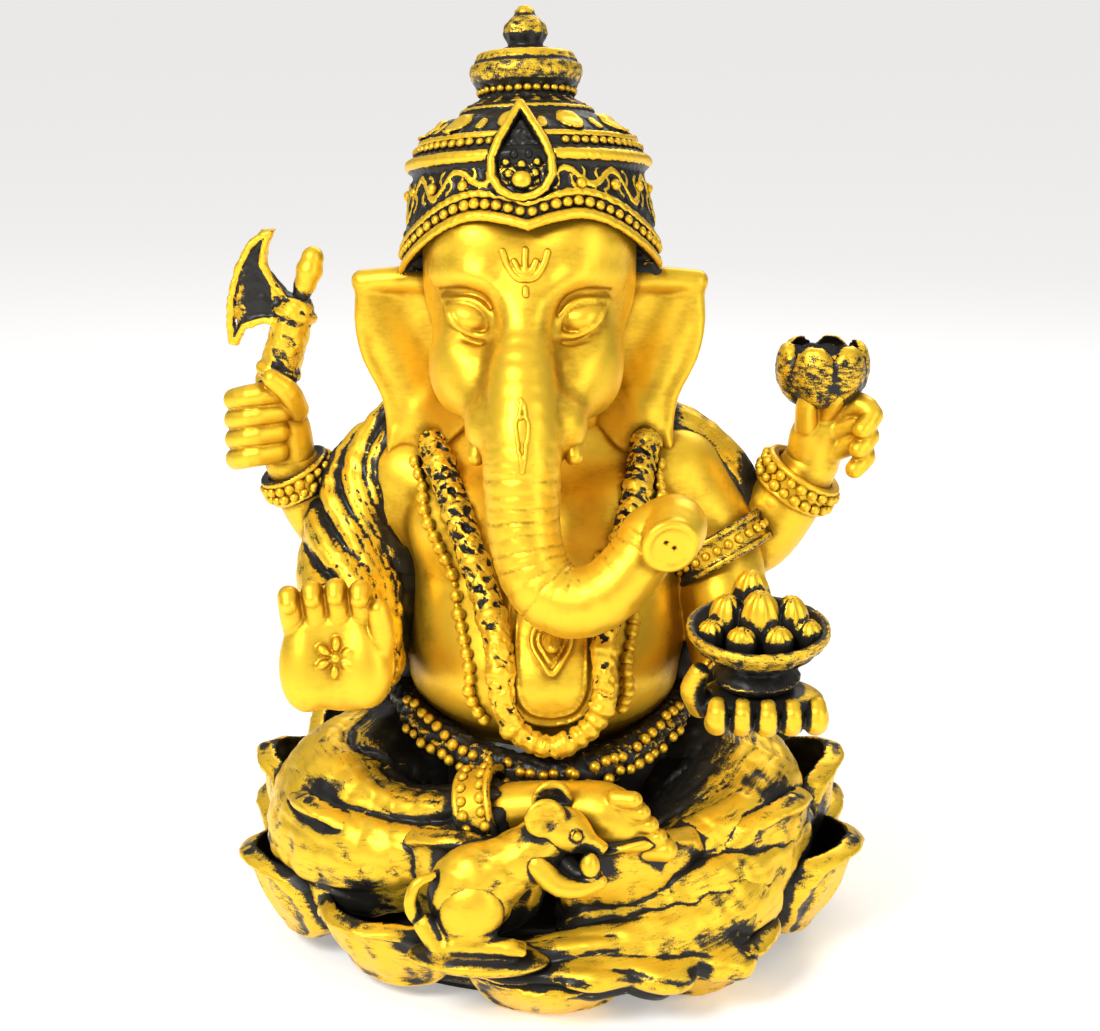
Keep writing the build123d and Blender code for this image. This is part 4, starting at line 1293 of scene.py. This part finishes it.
def petal(angle, rx, ry, z, lean, half, high, seed):
    """A cupped petal with a thick, pointed, outward-curled rim."""
    a = math.radians(angle)
    at = (rx * math.cos(a), ry * math.sin(a), z)
    m = turn(0, 0, angle) @ turn(0, lean, 0)

    def f(p):
        q = into(p, at, m)
        y, zz = q[:, 1], q[:, 2]
        curl = 3.2 * step(zz, high * 0.45, high) ** 2
        x = q[:, 0] - curl + 0.02 * PETAL_R
        ballish = egg(np.stack([x, y, zz], 1), (-PETAL_R, 0, 2), (PETAL_R, PETAL_R * 0.98, PETAL_R * 1.12))
        v = np.clip((zz - PETAL_FOOT) / (high - PETAL_FOOT), 0, 1)
        width = half * np.interp(v, [0, 0.15, 0.4, 0.62, 0.8, 0.92, 1.0],
                                 [0.62, 0.84, 1.0, 0.97, 0.78, 0.46, 0.04])
        edge = np.maximum((np.abs(y) - width) * 0.8, (np.maximum(zz - high, PETAL_FOOT - zz)) * 0.9)
        rim = 1.2 * np.exp(-((edge + 2.0) / 2.2) ** 2)
        vein = 0.225 * np.cos(y * 0.62) * step(-edge, 3, 7)
        shell = np.abs(ballish + 1.9) - 1.9 - rim + vein
        d = both(both(shell, edge, 2.0), -(x + PETAL_R * 0.85), 1.0) + 0.35 * rough(p, 13, seed)
        return np.maximum(d, 1.6 - p[:, 2])
    return f


EYES = [eye_lines(-1), eye_lines(1)]

# ---- all the pieces ----
sculpt("torso_and_front_arms", torso_and_arms, SKIN, nodes=["torso", "front_right_arm", "front_left_arm"])
sculpt("hips", hips, CLOTH, H_COARSE, low=(-62, -40, 24), high=(62, 60, 114), tone=waist_shadow)
sculpt("right_leg", right_leg, CLOTH, grow=5, tone=waist_shadow, path=RIGHT_LEG)
sculpt("left_leg", left_leg, CLOTH, grow=5, tone=waist_shadow, path=LEFT_LEG)
sculpt("dhoti_front_fold", front_fold, CLOTH, low=(-30, -97, 2), high=(72, -30, 40), path=FRONT_CLOTH,
       tone=hem_shadow)
sculpt("right_foot", foot, SKIN, H_FINE, grow=5)
sculpt("head_and_trunk", head_all, SKIN, H_FINE * 1.08, nodes=["head", "trunk"])
sculpt("right_tusk", tusk(-1), SKIN, H_FINE)
sculpt("left_tusk", tusk(1), SKIN, H_FINE)
sculpt("right_ear", ear(-1), SKIN, grow=6)
sculpt("left_ear", ear(1), SKIN, grow=6)
sculpt("crown_band", crown_band, RELIEF, H_FINE, tone=raised(crown_band_base))
sculpt("crown_dome", crown_dome, RELIEF, H_FINE, grow=3, tone=raised(crown_dome_base, dark=0.35))
sculpt("crown_knob", crown_knob, RELIEF, H_FINE, grow=3)
sculpt("crown_finial", crown_finial, RELIEF, H_FINE, grow=2)
sculpt("crown_jewel_frame", jewel_frame, RELIEF, H_FINE)
sculpt("crown_jewel", jewel, DARK, H_FINE * 0.8, grow=3,
       tone=lambda p: 0.5 - 0.9 * step(7.5 - crown_local(p)[0][:, 2] * 0.45, 0, 1.5))
sculpt("rear_right_arm", rear_right_arm, SKIN, grow=3)
sculpt("rear_left_arm", rear_left_arm, SKIN, grow=3)
sculpt("rear_right_hand", rear_right_hand, SKIN, H_FINE, grow=5)
sculpt("rear_left_hand", rear_left_hand, SKIN, H_FINE, grow=5)
sculpt("front_right_hand", front_right_hand, SKIN, H_FINE, grow=6)
sculpt("front_left_hand", front_left_hand, BODY_GOLD, H_FINE, grow=6)
sculpt("axe_head", axe_head, RELIEF, H_FINE, grow=3, tone=blade_tone)
sculpt("axe_shaft", axe_shaft, RELIEF, H_FINE, grow=3, tone=lambda p: -0.3 * step(p[:, 2], 212, 222))
sculpt("lotus_flower_cup", lotus_cup, RELIEF, H_FINE, grow=2)
sculpt("lotus_flower_petals", lotus_petals, DARK, H_FINE, grow=3, inside=(89, 4, 196),
       tone=lambda p: 0.16 - 0.35 * step(p[:, 2], 195, 200))
sculpt("sweet_bowl", bowl, DARK, H_FINE, grow=3, inside=(63, -69, 132))
sculpt("sweets", sweets, RELIEF, H_FINE, tone=lambda p: -0.25 * step(p[:, 2], 120, 130))
sculpt("belly_panel", panel, SKIN, H_FINE, grow=3)
sculpt("belly_pendant", pendant, SKIN, H_FINE, grow=3)
sculpt("garland", garland, RELIEF, H_FINE, grow=3, tone=lambda p: -0.35 * step(130 - p[:, 2], 0, 25) - 0.05)
sculpt("waist_belt", belt, DARK)
sculpt("shawl_right", shawl_right, CLOTH, path=SHAWL_PATH)
sculpt("shawl_left", shawl_left, CLOTH, grow=5)
sculpt("mouse_body", mouse_body, BODY_GOLD, H_FINE)
sculpt("mouse_head", mouse_head, BODY_GOLD, H_FINE, grow=5)
sculpt("mouse_forelegs", mouse_forelegs, BODY_GOLD, H_FINE)
sculpt("mouse_hind_legs", mouse_hind, BODY_GOLD, H_FINE, low=(-46, -100, 18), high=(-1, -78, 56))
sculpt("mouse_tail", mouse_tail, BODY_GOLD, H_FINE)
sculpt("lotus_seat", seat, DARK, H_COARSE, grow=2)
for name, (c, along, r, width, look, *_) in BANDS.items():
    sculpt(name, bangle(c, along, r, width), look, H_FINE)


def sculpt_petal(ring, i, angle, at, box, z, lean, half, high, seed, below, above, heart):
    """Queues petal i of a ring. Its cup looks at a point at the height heart over the seat."""
    a = math.radians(angle)
    c = np.array([box[0] * math.cos(a), box[1] * math.sin(a), z])
    sculpt(f"petal_{ring}_{i}", petal(angle, *at, z, lean, half, high, seed), PETAL, H_COARSE * 0.85,
           nodes=[f"petals_{ring}"], low=c - (PETAL_R, PETAL_R, below), high=c + (PETAL_R, PETAL_R, above),
           inside=(0.55 * c[0], 0.55 * c[1], heart))


# height, lean and length of the lower petals that the cloth and the mouse press down
LOW_PETALS = {0: (9, 36, 10), 1: (12, 32, 12), 2: (20, 24, 20), 9: (17, 27, 15)}
for i in range(10):
    z, lean, high = LOW_PETALS.get(i, (19, 22, 17))
    sculpt_petal("lower", i, 36 * i - 90, (101, 89), (92, 80), z, lean, 26.5, high, float(i), z, 25, z + 16)
    sculpt_petal("upper", i, 36 * i - 72, (95, 80), (84, 70), 38, 16, 26, 23, 3.0 + i, 24, 32, 56)

build_pending()

# ---- bead rows ----
LONG = [[(-44, -12, 164), (-40, -24, 150), (-35, -34, 134), (-31, -42, 120), (-27, -50, 106), (-27, -51, 96),
         (-22, -50, 84)],
        [(36, -12, 164), (35, -24, 150), (32, -34, 134), (30, -42, 120), (27, -50, 106), (28, -51, 96),
         (25, -50, 84)]]
for side, line in zip(("right", "left"), LONG):
    row = seat_on(torso, spaced(line, 2.35), 1.3)
    beads(f"long_necklace_{side}", row, np.where(np.arange(len(row)) % 2, 1.1, 2.3), "bead_necklaces")
row = seat_on(torso, spaced([(-15, -46, 138), (-10, -50, 130), (0, -52, 125.5), (10, -50, 130),
                             (15, -46, 138)], 3.6), 1.2)
beads("short_necklace", row, 1.8, "bead_necklaces")


def crown_ring(radius, height, gap, skip=0):
    """Even places round the crown, except where the jewel stands: within skip of the middle in front."""
    out = []
    count = int(2 * math.pi * radius / gap)
    for i in range(count):
        a = math.radians(-178 + 360 * i / count)
        x, y = radius * math.cos(a), radius * math.sin(a)
        if abs(x) >= skip or y >= 0:
            out.append((x, y, height))
    return out


def crown_point(points):
    """From the crown's own frame to the idol's."""
    return np.asarray(points) @ CROWN_M.T + np.array(CROWN_AT)


beads("crown_rim_beads", crown_point(crown_ring(35.4, 20.9, 3.3, skip=9.5)), 1.45, "crown_beads")
brow = np.array(crown_ring(40.6, 0, 3.7))
brow[:, 2] = brow_edge(brow) + 5.0
brow[:, :2] *= np.interp(brow[:, 2], [-19, -10, 2, 13], [39.8, 40.6, 39.0, 37.2])[:, None] / 40.6
beads("crown_brow_beads", crown_point(brow), 1.7, "crown_beads")
beads("crown_neck_beads", crown_point(crown_ring(14.8, 39.6, 2.9)), 1.3, "crown_beads")
beads("crown_scroll_bosses", crown_point(crown_ring(37.9, 7.6, 12.4, skip=10)), 1.9, "crown_scrolls")


def band_beads(c, along, r, offset, gap):
    """Even places on a ring round an axis."""
    n = unit(along)
    u = unit(np.cross(n, (0.3, 0.2, 1.0)))
    v = np.cross(n, u)
    turns = np.arange(int(2 * math.pi * r / gap)) * (2 * math.pi / int(2 * math.pi * r / gap))
    return [np.array(c) + n * offset + r * (u * math.cos(t) + v * math.sin(t)) for t in turns]


for name, (c, along, _, _, _, r, offsets, gap, size) in BANDS.items():
    beads(f"{name}_beads", [q for off in offsets for q in band_beads(c, along, r, off, gap)], size, name)
belt_lines = ([(-46, -26, 86), (-24, -50, 76), (-1, -56, 73), (22, -50, 76), (42, -26, 84)],
              [(-44, -30, 79), (-24, -52, 69), (-1, -58, 66), (22, -52, 69), (40, -30, 78)])
beads("belt_beads", np.vstack([seat_on(belt, spaced(line, 4.0), 0.9) for line in belt_lines]),
      1.7, "waist_belt")


# ---- forehead mark and trunk mark ----
def drawn(name, lines, r, lift):
    """Raised lines laid on the head."""
    parts = [seat_on(head_all, spaced(line, 0.9), lift) for line in lines]

    def f(p):
        out = np.full(len(p), 1e3, np.float32)
        for pts in parts:
            out = join(0.5, out, limb(p, pts, [r] * len(pts)))
        return out
    every = np.vstack(parts)
    sculpt(name, f, SKIN, 0.45, low=every.min(0) - r - 1, high=every.max(0) + r + 1)


drawn("forehead_mark", [
    [(-14.5, -40, 235.5), (-13.2, -40, 231.5), (-10.5, -40, 227.6), (-7.5, -40, 226.8), (-4.6, -40, 227.6),
     (-2.0, -40, 231.5), (-0.8, -40, 235.5)],
    [(-11, -40, 232.5), (-9.4, -40, 229.4), (-7.6, -40, 228.6), (-5.8, -40, 229.4), (-4.2, -40, 232.5)],
    [(-7.6, -40, 236.5), (-7.7, -40, 233), (-7.6, -40, 230)],
    [(-7.5, -40, 223.6), (-7.5, -40, 221.5)],
], 1.15, 0.1)
drawn("trunk_mark", [
    [(-8.2, -70, 200), (-5.8, -70, 191), (-5.8, -70, 187), (-8.2, -70, 174)],
    [(-8.2, -70, 200), (-10.6, -70, 191), (-10.6, -70, 187), (-8.2, -70, 174)],
    [(-8.2, -70, 192.6), (-8.2, -70, 192.0)],
], 0.7, 0.15)
build_pending()

# ---- CAD nodes that keep their own shape ----
for node, material in (("base_pad", FELT), ("base_plug", RESIN)):
    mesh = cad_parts[node].data
    mesh.materials.clear()
    mesh.materials.append(material)

# ---- floor, light and camera ----
floor_mesh = bpy.data.meshes.new("floor")
floor_mesh.from_pydata([(-30, -30, 0), (30, -30, 0), (30, 30, 0), (-30, 30, 0)], [], [(0, 1, 2, 3)])
floor = bpy.data.objects.new("floor", floor_mesh)
bpy.context.scene.collection.objects.link(floor)
white = bpy.data.materials.new("floor_white")
white.use_nodes = True
for key, value in (("Base Color", (0.9, 0.9, 0.9, 1.0)), ("Roughness", 0.9),
                   ("Emission Color", (1.0, 1.0, 1.0, 1.0)),
                   ("Emission Strength", 0.33)):
    white.node_tree.nodes["Principled BSDF"].inputs[key].default_value = value
floor_mesh.materials.append(white)
floor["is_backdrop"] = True


def area_light(name, at, size, power):
    """A soft lamp that looks at the idol's middle."""
    data = bpy.data.lights.new(name, "AREA")
    data.shape = "RECTANGLE"
    data.size, data.size_y = size
    data.energy = power
    lamp = bpy.data.objects.new(name, data)
    lamp.location = at
    lamp.rotation_euler = (Vector((0, 0, 0.15)) - Vector(at)).to_track_quat("-Z", "Y").to_euler()
    bpy.context.scene.collection.objects.link(lamp)


area_light("key", (-0.55, -0.85, 0.85), (0.4, 0.4), 12)
area_light("fill", (0.8, -0.8, 0.45), (0.5, 0.8), 3)
area_light("rim", (0.2, 0.7, 0.8), (0.9, 0.4), 3)
world = bpy.data.worlds.new("studio")
world.use_nodes = True
tree = world.node_tree
ray = tree.nodes.new("ShaderNodeTexCoord")
height = tree.nodes.new("ShaderNodeSeparateXYZ")
band = tree.nodes.new("ShaderNodeMapRange")
for key, value in (("From Min", 0.05), ("From Max", 0.9), ("To Min", 0.12), ("To Max", 0.72)):
    band.inputs[key].default_value = value
tree.links.new(ray.outputs["Generated"], height.inputs[0])
tree.links.new(height.outputs["Z"], band.inputs["Value"])
tree.links.new(band.outputs[0], tree.nodes["Background"].inputs["Strength"])
tree.nodes["Background"].inputs["Color"].default_value = (1.0, 0.985, 0.96, 1.0)
bpy.context.scene.world = world

SENSOR = 36.0                   # width in millimetres
FOCAL_SHARE = 23 / 11           # focal length as a share of the picture's width
LOOK_DOWN = 15.3                # degrees under the horizon
bpy.context.scene.view_settings.view_transform = "Standard"
camera_data = bpy.data.cameras.new("camera")
camera_data.sensor_width = SENSOR
camera_data.lens = FOCAL_SHARE * SENSOR
camera = bpy.data.objects.new("camera", camera_data)
camera.location = (0.0, -0.733, 0.342)
camera.rotation_euler = (math.radians(90 - LOOK_DOWN), 0.0, 0.0)
bpy.context.scene.collection.objects.link(camera)
bpy.context.scene.camera = camera

low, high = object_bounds()
({"cad": [[float(c) for c in corner] for corner in CAD_BOX],
           "visual": [[float(c) for c in corner] for corner in (low, high)]})
